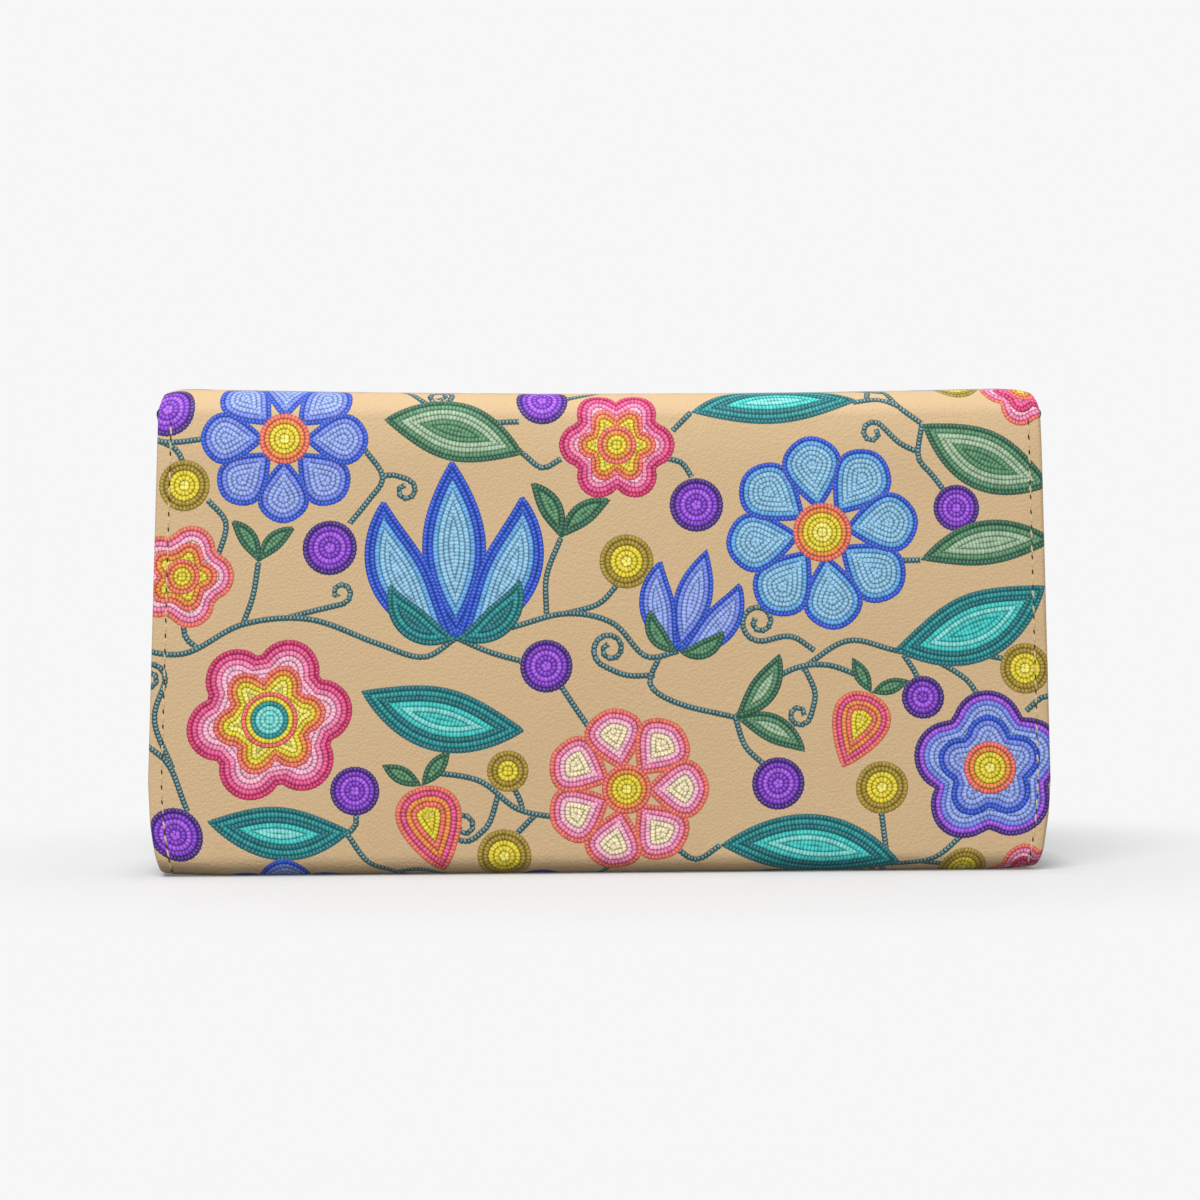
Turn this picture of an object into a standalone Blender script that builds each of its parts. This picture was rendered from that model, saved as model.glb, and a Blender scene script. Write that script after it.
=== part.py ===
"""A long fold-over wallet that stands upright on its base fold, with its plain back towards -Y.

One printed sheet runs from the front panel under the base, up the back, over the top and down
the front as the flap. Creases at the rear and front top edges let the flap open. Inside are a
black lining, pleated side gussets, stepped card panels and a zipped coin pocket.
All sizes are in metres, with +Z up and X along the width.
"""
import math

import bpy
import bmesh
from mathutils import Matrix, Vector

MM = 0.001

# Overall size of the closed wallet
WIDTH = 190.0 * MM
HEIGHT = 102.0 * MM
CASE_DEPTH = 23.0 * MM
BELLY_HEIGHT = 20.0 * MM
TOP_NARROWING = 2.7 * MM
BASE_NARROWING = 2.2 * MM
CREASE_NARROWING = 0.8 * MM

# Sheet materials
COVER_THICKNESS = 1.7 * MM
LINING_THICKNESS = 0.6 * MM
GUSSET_THICKNESS = 0.7 * MM
CARD_SHEET_THICKNESS = 0.45 * MM
POCKET_WALL_THICKNESS = 0.6 * MM
TAPE_THICKNESS = 0.4 * MM
GAP = 0.3 * MM

# Folds, measured on the outer face of the cover
TOP_FOLD_RADIUS = 5.0 * MM
BASE_FOLD_RADIUS = 4.5 * MM

# Front panel, flap and their margins
FRONT_PANEL_DROP = 8.0 * MM
LINING_SETBACK = 1.0 * MM
LINING_SIDE_MARGIN = 1.6 * MM
FLAP_LENGTH = 80.0 * MM
FLAP_CORNER_RADIUS = 12.0 * MM
FLAP_STANDOFF = 1.2 * MM

# Pleated gussets at both sides
GUSSET_TOP_DROP = 5.0 * MM
GUSSET_FLANGE = 5.0 * MM
GUSSET_PLEAT_DEPTH = 11.5 * MM
GUSSET_FOLD_RADIUS = 0.6 * MM
GUSSET_REACH = 0.3 * MM
GUSSET_MIDDLE_SETBACK = 1.0 * MM

# Stepped card panels on the back lining
CARD_PANEL_COUNT = 4
CARD_STEP = 12.0 * MM
CARD_PANEL_HEIGHT = 36.0 * MM
CARD_TOP_DROP = 14.0 * MM
CARD_SIDE_MARGIN = 4.8 * MM

# Zipped coin pocket between the two note spaces
POCKET_CAVITY = 4.3 * MM
POCKET_FOLD_RADIUS = 2.0 * MM
POCKET_EDGE_OVERLAP = 0.7 * MM

# Zip: coils, stops, slider and pull
TAPE_DEPTH = 11.0 * MM
TAPE_OVERRUN = 5.0 * MM
COIL_HEIGHT = 1.6 * MM
COIL_SHOULDER = 0.4 * MM
LIP_GRIP = 0.25 * MM
STOP_LENGTH = 2.2 * MM
STOP_RISE = 0.3 * MM
SLIDER_LENGTH = 9.5 * MM
SLIDER_PLATE = 1.0 * MM
SLIDER_FLANGE = 0.6 * MM
BRIDGE_HALF_LENGTH = 2.2 * MM
BRIDGE_POST = 0.5 * MM
BRIDGE_WIDTH = 1.0 * MM
BRIDGE_WINDOW = 1.5 * MM
BRIDGE_BAR = 0.8 * MM
PULL_LENGTH = 14.0 * MM
PULL_WIDTH = 4.4 * MM
PULL_THICKNESS = 0.8 * MM
PULL_BAR = 0.9 * MM
PULL_EYE_LENGTH = 3.0 * MM
PULL_SIDE_CLEARANCE = 0.4 * MM
PULL_HEADROOM = 3.0 * MM

# Snap fastener under the flap
SNAP_INSET = 15.0 * MM
SNAP_PLATE_RADIUS = 6.5 * MM
SNAP_PLATE_RISE = 0.3 * MM
SNAP_RECESS_DEPTH = 0.6 * MM
STUD_NECK_RADIUS = 2.1 * MM
STUD_HEAD_RADIUS = 2.5 * MM
STUD_HEIGHT = 1.7 * MM
STUD_POST_RADIUS = 1.5 * MM
SOCKET_FLANGE_RADIUS = 7.4 * MM
SOCKET_FLANGE_THICKNESS = 0.25 * MM
SOCKET_BORE_CLEARANCE = 0.8 * MM
SOCKET_END_WALL = 0.4 * MM
SOCKET_RECESS_DEPTH = 0.9 * MM

# Smoothness of the folded sheets
FOLD_SEGMENTS = 6
EDGE_SEGMENTS = 4
SHEET_STEP = 15.0 * MM
TURNED_SEGMENTS = 32

# The cover's section, worked out from the sizes above
HALF_WIDTH = WIDTH / 2
HALF_DEPTH = CASE_DEPTH / 2
HALF_COVER = COVER_THICKNESS / 2
COVER_MID = HALF_DEPTH - HALF_COVER
TOP_MID_RADIUS = TOP_FOLD_RADIUS - HALF_COVER
BASE_MID_RADIUS = BASE_FOLD_RADIUS - HALF_COVER
FOLD_CENTRE_Z = HEIGHT - TOP_FOLD_RADIUS
REAR_FOLD_CENTRE = Vector((-HALF_DEPTH + TOP_FOLD_RADIUS, FOLD_CENTRE_Z))
FLAP_STACK = FLAP_STANDOFF + LINING_THICKNESS + GAP + COVER_THICKNESS
FLAP_OUTER_Y = HALF_DEPTH + FLAP_STACK
FRONT_FOLD_CENTRE = Vector((FLAP_OUTER_Y - TOP_FOLD_RADIUS, FOLD_CENTRE_Z))
REAR_AXIS_ANGLE = 135.0
FRONT_AXIS_ANGLE = 45.0
CREASE_ANGLE = math.degrees(2 * math.asin((COVER_THICKNESS + GAP) / (2 * TOP_MID_RADIUS)))
FRONT_PANEL_TOP = HEIGHT - FRONT_PANEL_DROP
FLAP_END_Z = HEIGHT - FLAP_LENGTH

# The lining lies inside the cover
LINING_INSET = HALF_COVER + GAP + LINING_THICKNESS / 2
LINING_MID = COVER_MID - LINING_INSET
LINING_FACE = LINING_MID - LINING_THICKNESS / 2
LINING_FLOOR = COVER_THICKNESS + GAP + LINING_THICKNESS
LINING_FOLD_RADIUS = TOP_MID_RADIUS - LINING_INSET
SPINE_LINING_UNDERSIDE = FOLD_CENTRE_Z + LINING_FOLD_RADIUS - LINING_THICKNESS / 2

# The card panels take the back of the inside, and the coin pocket stands midway in the rest
CARD_PITCH = CARD_SHEET_THICKNESS + GAP
CARD_STACK = CARD_PANEL_COUNT * CARD_PITCH
CARD_STACK_FACE = CARD_STACK - LINING_FACE
POCKET_DEPTH = POCKET_CAVITY + 2 * POCKET_WALL_THICKNESS
NOTE_SPACE = (2 * LINING_FACE - CARD_STACK - POCKET_DEPTH) / 2
POCKET_Y = LINING_FACE - NOTE_SPACE - POCKET_DEPTH / 2

# The zip lies low enough for its pull to swing up under the closed flap
PULL_AXIS_Z = SPINE_LINING_UNDERSIDE - PULL_LENGTH - PULL_HEADROOM
SLIDER_TOP_Z = PULL_AXIS_Z - BRIDGE_WINDOW / 2
COIL_TOP_Z = SLIDER_TOP_Z - SLIDER_PLATE - GAP
COIL_BASE_Z = COIL_TOP_Z - COIL_HEIGHT
TAPE_TOP_Z = COIL_BASE_Z - GAP
LIP_TOP_Z = COIL_BASE_Z - GAP
LIP_BASE_Z = LIP_TOP_Z - SLIDER_PLATE
POCKET_TOP_Z = LIP_BASE_Z - GAP
TAPE_MID = POCKET_CAVITY / 2 - GAP - TAPE_THICKNESS / 2
LIP_REACH = TAPE_MID + TAPE_THICKNESS / 2 + GAP
COIL_REACH = LIP_REACH + LIP_GRIP
SLIDER_INNER = COIL_REACH + GAP
SLIDER_OUTER = SLIDER_INNER + SLIDER_FLANGE

# The pleats hold the pocket's side edges, and the zip ends short of them
GUSSET_OUTER_X = HALF_WIDTH - TOP_NARROWING + GUSSET_REACH
GUSSET_TIP_X = GUSSET_OUTER_X - GUSSET_PLEAT_DEPTH
POCKET_HALF_WIDTH = GUSSET_TIP_X + POCKET_EDGE_OVERLAP
CARD_HALF_WIDTH = GUSSET_OUTER_X - CARD_SIDE_MARGIN
SLIDER_END_X = GUSSET_TIP_X - GUSSET_THICKNESS - GAP - PULL_LENGTH
COIL_HALF_LENGTH = SLIDER_END_X + SLIDER_LENGTH / 2 + GAP
TAPE_HALF_LENGTH = COIL_HALF_LENGTH + TAPE_OVERRUN

# The snap's stud stands on the front panel, and its socket is in the flap
SNAP_Z = FLAP_END_Z + SNAP_INSET
FLAP_LINING_FACE_Y = HALF_DEPTH + FLAP_STANDOFF
FLAP_COVER_INNER_Y = FLAP_OUTER_Y - COVER_THICKNESS

# The origin is under the middle of the whole box, so the case stands a little to the rear
CENTRING_Y = -(FLAP_OUTER_Y - HALF_DEPTH) / 2

INK_BLACK = (0.018, 0.017, 0.018)
GROUND_TAN = (0.665, 0.455, 0.255)
SNAP_METAL = (0.62, 0.60, 0.57)


def clear_scene():
    for item in list(bpy.data.objects):
        bpy.data.objects.remove(item, do_unlink=True)


def finish_for(item, colour, roughness, metallic=0.0):
    """Give a piece a surface of its own."""
    material = bpy.data.materials.new(item.name + "_surface")
    material.use_nodes = True
    shader = material.node_tree.nodes["Principled BSDF"]
    shader.inputs["Base Color"].default_value = (*colour, 1.0)
    shader.inputs["Roughness"].default_value = roughness
    shader.inputs["Metallic"].default_value = metallic
    material.diffuse_color = (*colour, 1.0)
    item.data.materials.append(material)


def finish_cover(item):
    finish_for(item, GROUND_TAN, 0.5)


def finish_lining(item):
    finish_for(item, INK_BLACK, 0.7)


def finish_tape(item):
    finish_for(item, INK_BLACK, 0.85)


def finish_metal(item):
    finish_for(item, SNAP_METAL, 0.25, 1.0)


def add_object(name, mesh_builder):
    """Turn a finished bmesh into a named object."""
    bmesh.ops.recalc_face_normals(mesh_builder, faces=mesh_builder.faces)
    mesh = bpy.data.meshes.new(name)
    mesh_builder.to_mesh(mesh)
    mesh_builder.free()
    item = bpy.data.objects.new(name, mesh)
    bpy.context.scene.collection.objects.link(item)
    mesh.shade_smooth()
    mesh.set_sharp_from_angle(angle=math.radians(40))
    return item


def add_pivot(name, place, parent=None):
    """An empty on a joint's axis. Its place is given in the wallet's own frame."""
    pivot = bpy.data.objects.new(name, None)
    pivot.empty_display_size = WIDTH / 20
    bpy.context.scene.collection.objects.link(pivot)
    pivot["place"] = place
    start = Vector((0, 0, 0))
    if parent is not None:
        pivot.parent = parent
        start = Vector(parent["place"])
    pivot.location = Vector(place) - start
    return pivot


def carry(item, pivot):
    """Hang a piece, modelled in the wallet's own frame, on a pivot."""
    item.data.transform(Matrix.Translation(-Vector(pivot["place"])))
    item.parent = pivot


def arc(centre, radius, start, end, segments=FOLD_SEGMENTS):
    """Points on an arc, with its angles in degrees."""
    points = []
    for step in range(segments + 1):
        angle = math.radians(start + (end - start) * step / segments)
        points.append(Vector((centre[0] + radius * math.cos(angle), centre[1] + radius * math.sin(angle))))
    return points


def filleted(corners, radius):
    """A path through corners, with each inner corner rounded to the radius."""
    points = [Vector(corners[0])]
    for before, corner, after in zip(corners, corners[1:], corners[2:]):
        corner = Vector(corner)
        incoming = (Vector(before) - corner).normalized()
        outgoing = (Vector(after) - corner).normalized()
        half_angle = incoming.angle(outgoing) / 2
        reach = radius / math.tan(half_angle)
        bisector = (incoming + outgoing).normalized()
        centre = corner + bisector * (radius / math.sin(half_angle))
        first = corner + incoming * reach - centre
        last = corner + outgoing * reach - centre
        turn = last.angle_signed(first)
        for step in range(FOLD_SEGMENTS + 1):
            angle = turn * step / FOLD_SEGMENTS
            points.append(centre + Matrix.Rotation(angle, 2) @ first)
    points.append(Vector(corners[-1]))
    return points


def divided(path, longest=SHEET_STEP):
    """The same path with its long runs cut into steps."""
    points = [Vector(path[0])]
    for start, end in zip(path, path[1:]):
        count = max(1, math.ceil((Vector(end) - Vector(start)).length / longest))
        for step in range(1, count + 1):
            points.append(Vector(start).lerp(Vector(end), step / count))
    return points


def path_frames(path):
    """The tangent and the normal at each point of a path in a plane."""
    frames = []
    last = len(path) - 1
    for index in range(len(path)):
        before = path[max(index - 1, 0)]
        after = path[min(index + 1, last)]
        incoming = (path[index] - before).normalized() if index else None
        outgoing = (after - path[index]).normalized() if index < last else None
        tangent = outgoing if incoming is None else incoming
        if incoming is not None and outgoing is not None:
            tangent = (incoming + outgoing).normalized()
        frames.append((tangent, Vector((-tangent.y, tangent.x))))
    return frames


def rounded_stations(path, half_thickness):
    """Stations along a sheet: mid point, normal and half thickness, with a half-round at both ends."""
    frames = path_frames(path)
    stations = []
    for point, (tangent, normal) in zip(path, frames):
        stations.append((point, normal, half_thickness))
    for end, way in ((0, -1), (-1, 1)):
        tangent, normal = frames[end]
        nose = []
        for step in range(1, EDGE_SEGMENTS + 1):
            angle = math.radians(80) * step / EDGE_SEGMENTS
            point = path[end] + tangent * (way * half_thickness * math.sin(angle))
            nose.append((point, normal, half_thickness * math.cos(angle)))
        stations = stations + nose if way > 0 else nose[::-1] + stations
    return stations


def sheet_ring(half_width, half_thickness):
    """The section across a sheet with rounded side edges, as (across, through) pairs."""
    ring = []
    for side in (1, -1):
        for step in range(EDGE_SEGMENTS + 1):
            angle = math.pi / 2 - math.pi * step / EDGE_SEGMENTS
            across = half_width - half_thickness * (1 - math.cos(angle))
            ring.append((side * across, side * half_thickness * math.sin(angle)))
    return ring


def folded_sheet(name, path, thickness, half_width_at):
    """A sheet that follows a path in the YZ plane and spans the width along X."""
    builder = bmesh.new()
    rings = []
    for point, normal, half_thickness in rounded_stations(path, thickness / 2):
        ring = []
        for across, through in sheet_ring(half_width_at(point), half_thickness):
            place = point + normal * through
            ring.append(builder.verts.new((across, place.x, place.y)))
        rings.append(ring)
    for first, second in zip(rings, rings[1:]):
        count = len(first)
        for index in range(count):
            following = (index + 1) % count
            builder.faces.new((first[index], first[following], second[following], second[index]))
    builder.faces.new(rings[0][::-1])
    builder.faces.new(rings[-1])
    return add_object(name, builder)


def outline_of(path, thickness):
    """The closed outline of a bent strip, as points in its plane."""
    half = thickness / 2
    left = []
    right = []
    for point, (tangent, normal) in zip(path, path_frames(path)):
        left.append(point + normal * half)
        right.append(point - normal * half)
    return left + right[::-1]


def prism(name, outline, low, high, to_space):
    """A closed outline drawn out from low to high. to_space places (a, b, height) in space."""
    builder = bmesh.new()
    lower = [builder.verts.new(to_space(point[0], point[1], low)) for point in outline]
    upper = [builder.verts.new(to_space(point[0], point[1], high)) for point in outline]
    count = len(outline)
    for index in range(count):
        following = (index + 1) % count
        builder.faces.new((lower[index], lower[following], upper[following], upper[index]))
    builder.faces.new(lower[::-1])
    builder.faces.new(upper)
    return add_object(name, builder)


def upright(a, b, height):
    return (a, b, height)


def along_x(a, b, height):
    return (height, a, b)


def along_y(a, b, height):
    return (a, height, b)


def turned_about_y(name, profile, centre):
    """A round piece turned about an axis along Y. The profile holds (radius, y) pairs."""
    builder = bmesh.new()
    rings = []
    for radius, y in profile:
        if radius == 0:
            rings.append([builder.verts.new((centre[0], y, centre[1]))])
            continue
        ring = []
        for step in range(TURNED_SEGMENTS):
            angle = 2 * math.pi * step / TURNED_SEGMENTS
            x = centre[0] + radius * math.cos(angle)
            z = centre[1] + radius * math.sin(angle)
            ring.append(builder.verts.new((x, y, z)))
        rings.append(ring)
    for first, second in zip(rings, rings[1:]):
        for index in range(TURNED_SEGMENTS):
            following = (index + 1) % TURNED_SEGMENTS
            if len(first) == 1:
                builder.faces.new((first[0], second[index], second[following]))
            elif len(second) == 1:
                builder.faces.new((first[index], first[following], second[0]))
            else:
                builder.faces.new((first[index], first[following], second[following], second[index]))
    return add_object(name, builder)


def add_cutter(name, profile, centre):
    """A turned tool shape that cuts a recess and isn't a piece itself."""
    cutter = turned_about_y(name, profile, centre)
    cutter.hide_render = True
    cutter.display_type = "WIRE"
    return cutter


def boolean(item, tool, operation="DIFFERENCE"):
    modifier = item.modifiers.new(tool.name, "BOOLEAN")
    modifier.operation = operation
    modifier.solver = "EXACT"
    modifier.object = tool


def panel_half_width(point):
    """Half the wallet's width at a height: fullest a little above the base."""
    height = min(max(point.y, 0.0), HEIGHT)
    if height < BELLY_HEIGHT:
        return HALF_WIDTH - BASE_NARROWING * (1 - height / BELLY_HEIGHT) ** 2
    rise = (height - BELLY_HEIGHT) / (HEIGHT - BELLY_HEIGHT)
    over_fold = max(0.0, height - FOLD_CENTRE_Z) / TOP_FOLD_RADIUS
    return HALF_WIDTH - TOP_NARROWING * rise - CREASE_NARROWING * over_fold ** 2


def lining_half_width(point):
    return panel_half_width(point) - LINING_SIDE_MARGIN


def flap_half_width(point):
    """The flap is as wide as the top of the case, with two round corners at its free edge."""
    half_width = min(panel_half_width(point), HALF_WIDTH - TOP_NARROWING)
    into_corner = FLAP_END_Z + FLAP_CORNER_RADIUS - point.y
    if into_corner <= 0:
        return half_width
    share = min(into_corner / FLAP_CORNER_RADIUS, 1.0)
    return half_width - FLAP_CORNER_RADIUS * (1 - math.sqrt(1 - share ** 2))


def flap_lining_half_width(point):
    return flap_half_width(point) - LINING_SIDE_MARGIN


def u_fold(half_depth, floor, radius, front_top, back_top):
    """A path down the front, under the base and up the back."""
    centre_z = floor + radius
    path = [Vector((half_depth, front_top))]
    path += arc((half_depth - radius, centre_z), radius, 0, -90)
    path += arc((-half_depth + radius, centre_z), radius, -90, -180)
    path.append(Vector((-half_depth, back_top)))
    return path


def case_path(inset, front_top, last_angle):
    """The case's sheet, from the front panel's top edge to the rear crease."""
    path = u_fold(COVER_MID - inset, HALF_COVER + inset, BASE_MID_RADIUS - inset, front_top, FOLD_CENTRE_Z)
    fold = arc(REAR_FOLD_CENTRE, TOP_MID_RADIUS - inset, 180, last_angle, FOLD_SEGMENTS // 2)
    return divided(path + fold[1:])


def spine_path(inset, first_angle, last_angle):
    """The top strip between the two creases."""
    radius = TOP_MID_RADIUS - inset
    rear = arc(REAR_FOLD_CENTRE, radius, first_angle, 90, FOLD_SEGMENTS // 2)
    front = arc(FRONT_FOLD_CENTRE, radius, 90, last_angle, FOLD_SEGMENTS // 2)
    return divided(rear + front)


def flap_path(inset, first_angle, end_z):
    """The flap's sheet, with stations where its round corners need them."""
    radius = TOP_MID_RADIUS - inset
    path = arc(FRONT_FOLD_CENTRE, radius, first_angle, 0, FOLD_SEGMENTS // 2)
    y = FRONT_FOLD_CENTRE.x + radius
    path = divided(path + [Vector((y, FLAP_END_Z + FLAP_CORNER_RADIUS))])
    for step in range(1, FOLD_SEGMENTS + 1):
        angle = math.radians(80) * step / FOLD_SEGMENTS
        z = FLAP_END_Z + FLAP_CORNER_RADIUS * (1 - math.sin(angle))
        if z > end_z:
            path.append(Vector((y, z)))
    path.append(Vector((y, end_z)))
    return path


def rear_axis_place():
    centre = arc(REAR_FOLD_CENTRE, TOP_MID_RADIUS, REAR_AXIS_ANGLE, REAR_AXIS_ANGLE, 1)[0]
    return (0.0, centre.x, centre.y)


def front_axis_place():
    centre = arc(FRONT_FOLD_CENTRE, TOP_MID_RADIUS, FRONT_AXIS_ANGLE, FRONT_AXIS_ANGLE, 1)[0]
    return (0.0, centre.x, centre.y)


def make_case_cover():
    path = case_path(0.0, FRONT_PANEL_TOP, REAR_AXIS_ANGLE)
    cover = folded_sheet("case_cover", path, COVER_THICKNESS, panel_half_width)
    plate = SNAP_PLATE_RADIUS + GAP
    post = STUD_POST_RADIUS + GAP
    recess = HALF_DEPTH - SNAP_RECESS_DEPTH
    outside = HALF_DEPTH + COVER_THICKNESS
    inside = HALF_DEPTH - COVER_THICKNESS - GAP / 2
    profile = [(0, outside), (plate, outside), (plate, recess), (post, recess), (post, inside), (0, inside)]
    boolean(cover, add_cutter("stud_seat_cutter", profile, (0.0, SNAP_Z)))
    finish_cover(cover)
    return cover


def make_case_lining():
    path = case_path(LINING_INSET, FRONT_PANEL_TOP - LINING_SETBACK, REAR_AXIS_ANGLE + CREASE_ANGLE / 2)
    lining = folded_sheet("case_lining", path, LINING_THICKNESS, lining_half_width)
    finish_lining(lining)
    return lining


def make_spine_cover():
    path = spine_path(0.0, REAR_AXIS_ANGLE - CREASE_ANGLE, FRONT_AXIS_ANGLE)
    cover = folded_sheet("spine_cover", path, COVER_THICKNESS, panel_half_width)
    finish_cover(cover)
    return cover


def make_spine_lining():
    path = spine_path(LINING_INSET, REAR_AXIS_ANGLE - CREASE_ANGLE, FRONT_AXIS_ANGLE + CREASE_ANGLE / 2)
    lining = folded_sheet("spine_lining", path, LINING_THICKNESS, lining_half_width)
    finish_lining(lining)
    return lining


def make_flap_cover():
    path = flap_path(0.0, FRONT_AXIS_ANGLE - CREASE_ANGLE, FLAP_END_Z + HALF_COVER)
    cover = folded_sheet("flap_cover", path, COVER_THICKNESS, flap_half_width)
    plate = SNAP_PLATE_RADIUS + GAP
    depth = FLAP_COVER_INNER_Y + SOCKET_RECESS_DEPTH
    outside = FLAP_COVER_INNER_Y - GAP / 2
    profile = [(0, outside), (plate, outside), (plate, depth), (0, depth)]
    cutter = add_cutter("socket_recess_cutter", profile, (0.0, SNAP_Z))
    boolean(cover, cutter)
    finish_cover(cover)
    return cover, cutter


def make_flap_lining():
    end_z = FLAP_END_Z + LINING_SIDE_MARGIN
    path = flap_path(LINING_INSET, FRONT_AXIS_ANGLE - CREASE_ANGLE, end_z)
    lining = folded_sheet("flap_lining", path, LINING_THICKNESS, flap_lining_half_width)
    hole = SNAP_PLATE_RADIUS + GAP
    outside = FLAP_LINING_FACE_Y - GAP / 2
    inside = FLAP_LINING_FACE_Y + LINING_THICKNESS + GAP / 2
    profile = [(0, outside), (hole, outside), (hole, inside), (0, inside)]
    cutter = add_cutter("socket_hole_cutter", profile, (0.0, SNAP_Z))
    boolean(lining, cutter)
    finish_lining(lining)
    return lining, cutter


def fold_cutback(rise, run):
    """How far a fillet draws a sharp fold back from its corner, for legs that rise over a run."""
    return GUSSET_FOLD_RADIUS * (math.hypot(rise, run) / rise - 1)


def make_gusset(name, side):
    """A pleated strip: flange on the front lining, two inward pleats, flange on the card panels."""
    half = GUSSET_THICKNESS / 2
    front_y = LINING_FACE - GAP - half
    rear_y = CARD_STACK_FACE + GAP + half
    flange_x = GUSSET_OUTER_X - GUSSET_FLANGE
    pleat = POCKET_DEPTH / 2 + GAP + half
    middle_x = GUSSET_OUTER_X - GUSSET_MIDDLE_SETBACK - half
    cutback = fold_cutback(pleat, middle_x - GUSSET_TIP_X)
    tip_x = GUSSET_TIP_X - cutback / 2
    corners = [
        (GUSSET_OUTER_X, front_y),
        (flange_x, front_y),
        (tip_x, POCKET_Y + pleat),
        (middle_x + cutback, POCKET_Y),
        (tip_x, POCKET_Y - pleat),
        (flange_x, rear_y),
        (GUSSET_OUTER_X, rear_y),
    ]
    path = filleted(corners, GUSSET_FOLD_RADIUS)
    outline = [(side * point.x, point.y) for point in outline_of(path, GUSSET_THICKNESS)]
    floor = max(BASE_FOLD_RADIUS, LINING_FLOOR) + GAP
    gusset = prism(name, outline, floor, HEIGHT - GUSSET_TOP_DROP, upright)
    finish_lining(gusset)
    return gusset


def make_card_panel(index):
    """One stepped sheet of the card slots, the first one nearest the back."""
    back = -LINING_FACE + GAP + index * CARD_PITCH
    front = back + CARD_SHEET_THICKNESS
    top = HEIGHT - CARD_TOP_DROP - index * CARD_STEP
    floor = max(BASE_FOLD_RADIUS, LINING_FLOOR) + GAP
    is_last = index == CARD_PANEL_COUNT - 1
    base = floor if is_last else max(top - CARD_PANEL_HEIGHT, floor)
    outline = [(back, base), (front, base), (front, top), (back, top)]
    panel = prism(f"card_panel_{index + 1}", outline, -CARD_HALF_WIDTH, CARD_HALF_WIDTH, along_x)
    finish_lining(panel)
    return panel


def make_coin_pocket():
    """One sheet folded at its foot, with both walls standing up to the zip."""
    half = POCKET_CAVITY / 2 + POCKET_WALL_THICKNESS / 2
    floor = LINING_FLOOR + GAP + POCKET_WALL_THICKNESS / 2
    top = POCKET_TOP_Z - POCKET_WALL_THICKNESS / 2
    path = u_fold(half, floor, POCKET_FOLD_RADIUS, top, top)
    path = [point + Vector((POCKET_Y, 0.0)) for point in path]
    pocket = folded_sheet("coin_pocket", path, POCKET_WALL_THICKNESS, lambda point: POCKET_HALF_WIDTH)
    finish_lining(pocket)
    return pocket


def make_zip_tape(name, side):
    inner = POCKET_Y + side * (TAPE_MID - TAPE_THICKNESS / 2)
    outer = POCKET_Y + side * (TAPE_MID + TAPE_THICKNESS / 2)
    low = TAPE_TOP_Z - TAPE_DEPTH
    outline = [(inner, low), (outer, low), (outer, TAPE_TOP_Z), (inner, TAPE_TOP_Z)]
    tape = prism(name, outline, -TAPE_HALF_LENGTH, TAPE_HALF_LENGTH, along_x)
    finish_tape(tape)
    return tape


def make_zip_coil(name, side):
    """One closed coil row with its shoulders eased."""
    inner = POCKET_Y + side * GAP / 2
    outer = POCKET_Y + side * COIL_REACH
    shoulder = side * COIL_SHOULDER
    outline = [
        (inner, COIL_BASE_Z),
        (outer - shoulder, COIL_BASE_Z),
        (outer, COIL_BASE_Z + COIL_SHOULDER),
        (outer, COIL_TOP_Z - COIL_SHOULDER),
        (outer - shoulder, COIL_TOP_Z),
        (inner, COIL_TOP_Z),
    ]
    coil = prism(name, outline, -COIL_HALF_LENGTH, COIL_HALF_LENGTH, along_x)
    finish_tape(coil)
    return coil


def make_zip_stop(name, side):
    """A small metal clamp at each end of the coils, over both tapes."""
    near = side * (COIL_HALF_LENGTH + GAP)
    far = near + side * STOP_LENGTH
    top = COIL_TOP_Z + STOP_RISE
    outline = [
        (POCKET_Y - COIL_REACH, COIL_BASE_Z),
        (POCKET_Y + COIL_REACH, COIL_BASE_Z),
        (POCKET_Y + COIL_REACH, top - COIL_SHOULDER),
        (POCKET_Y + COIL_REACH - COIL_SHOULDER, top),
        (POCKET_Y - COIL_REACH + COIL_SHOULDER, top),
        (POCKET_Y - COIL_REACH, top - COIL_SHOULDER),
    ]
    stop = prism(name, outline, min(near, far), max(near, far), along_x)
    finish_metal(stop)
    return stop


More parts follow.
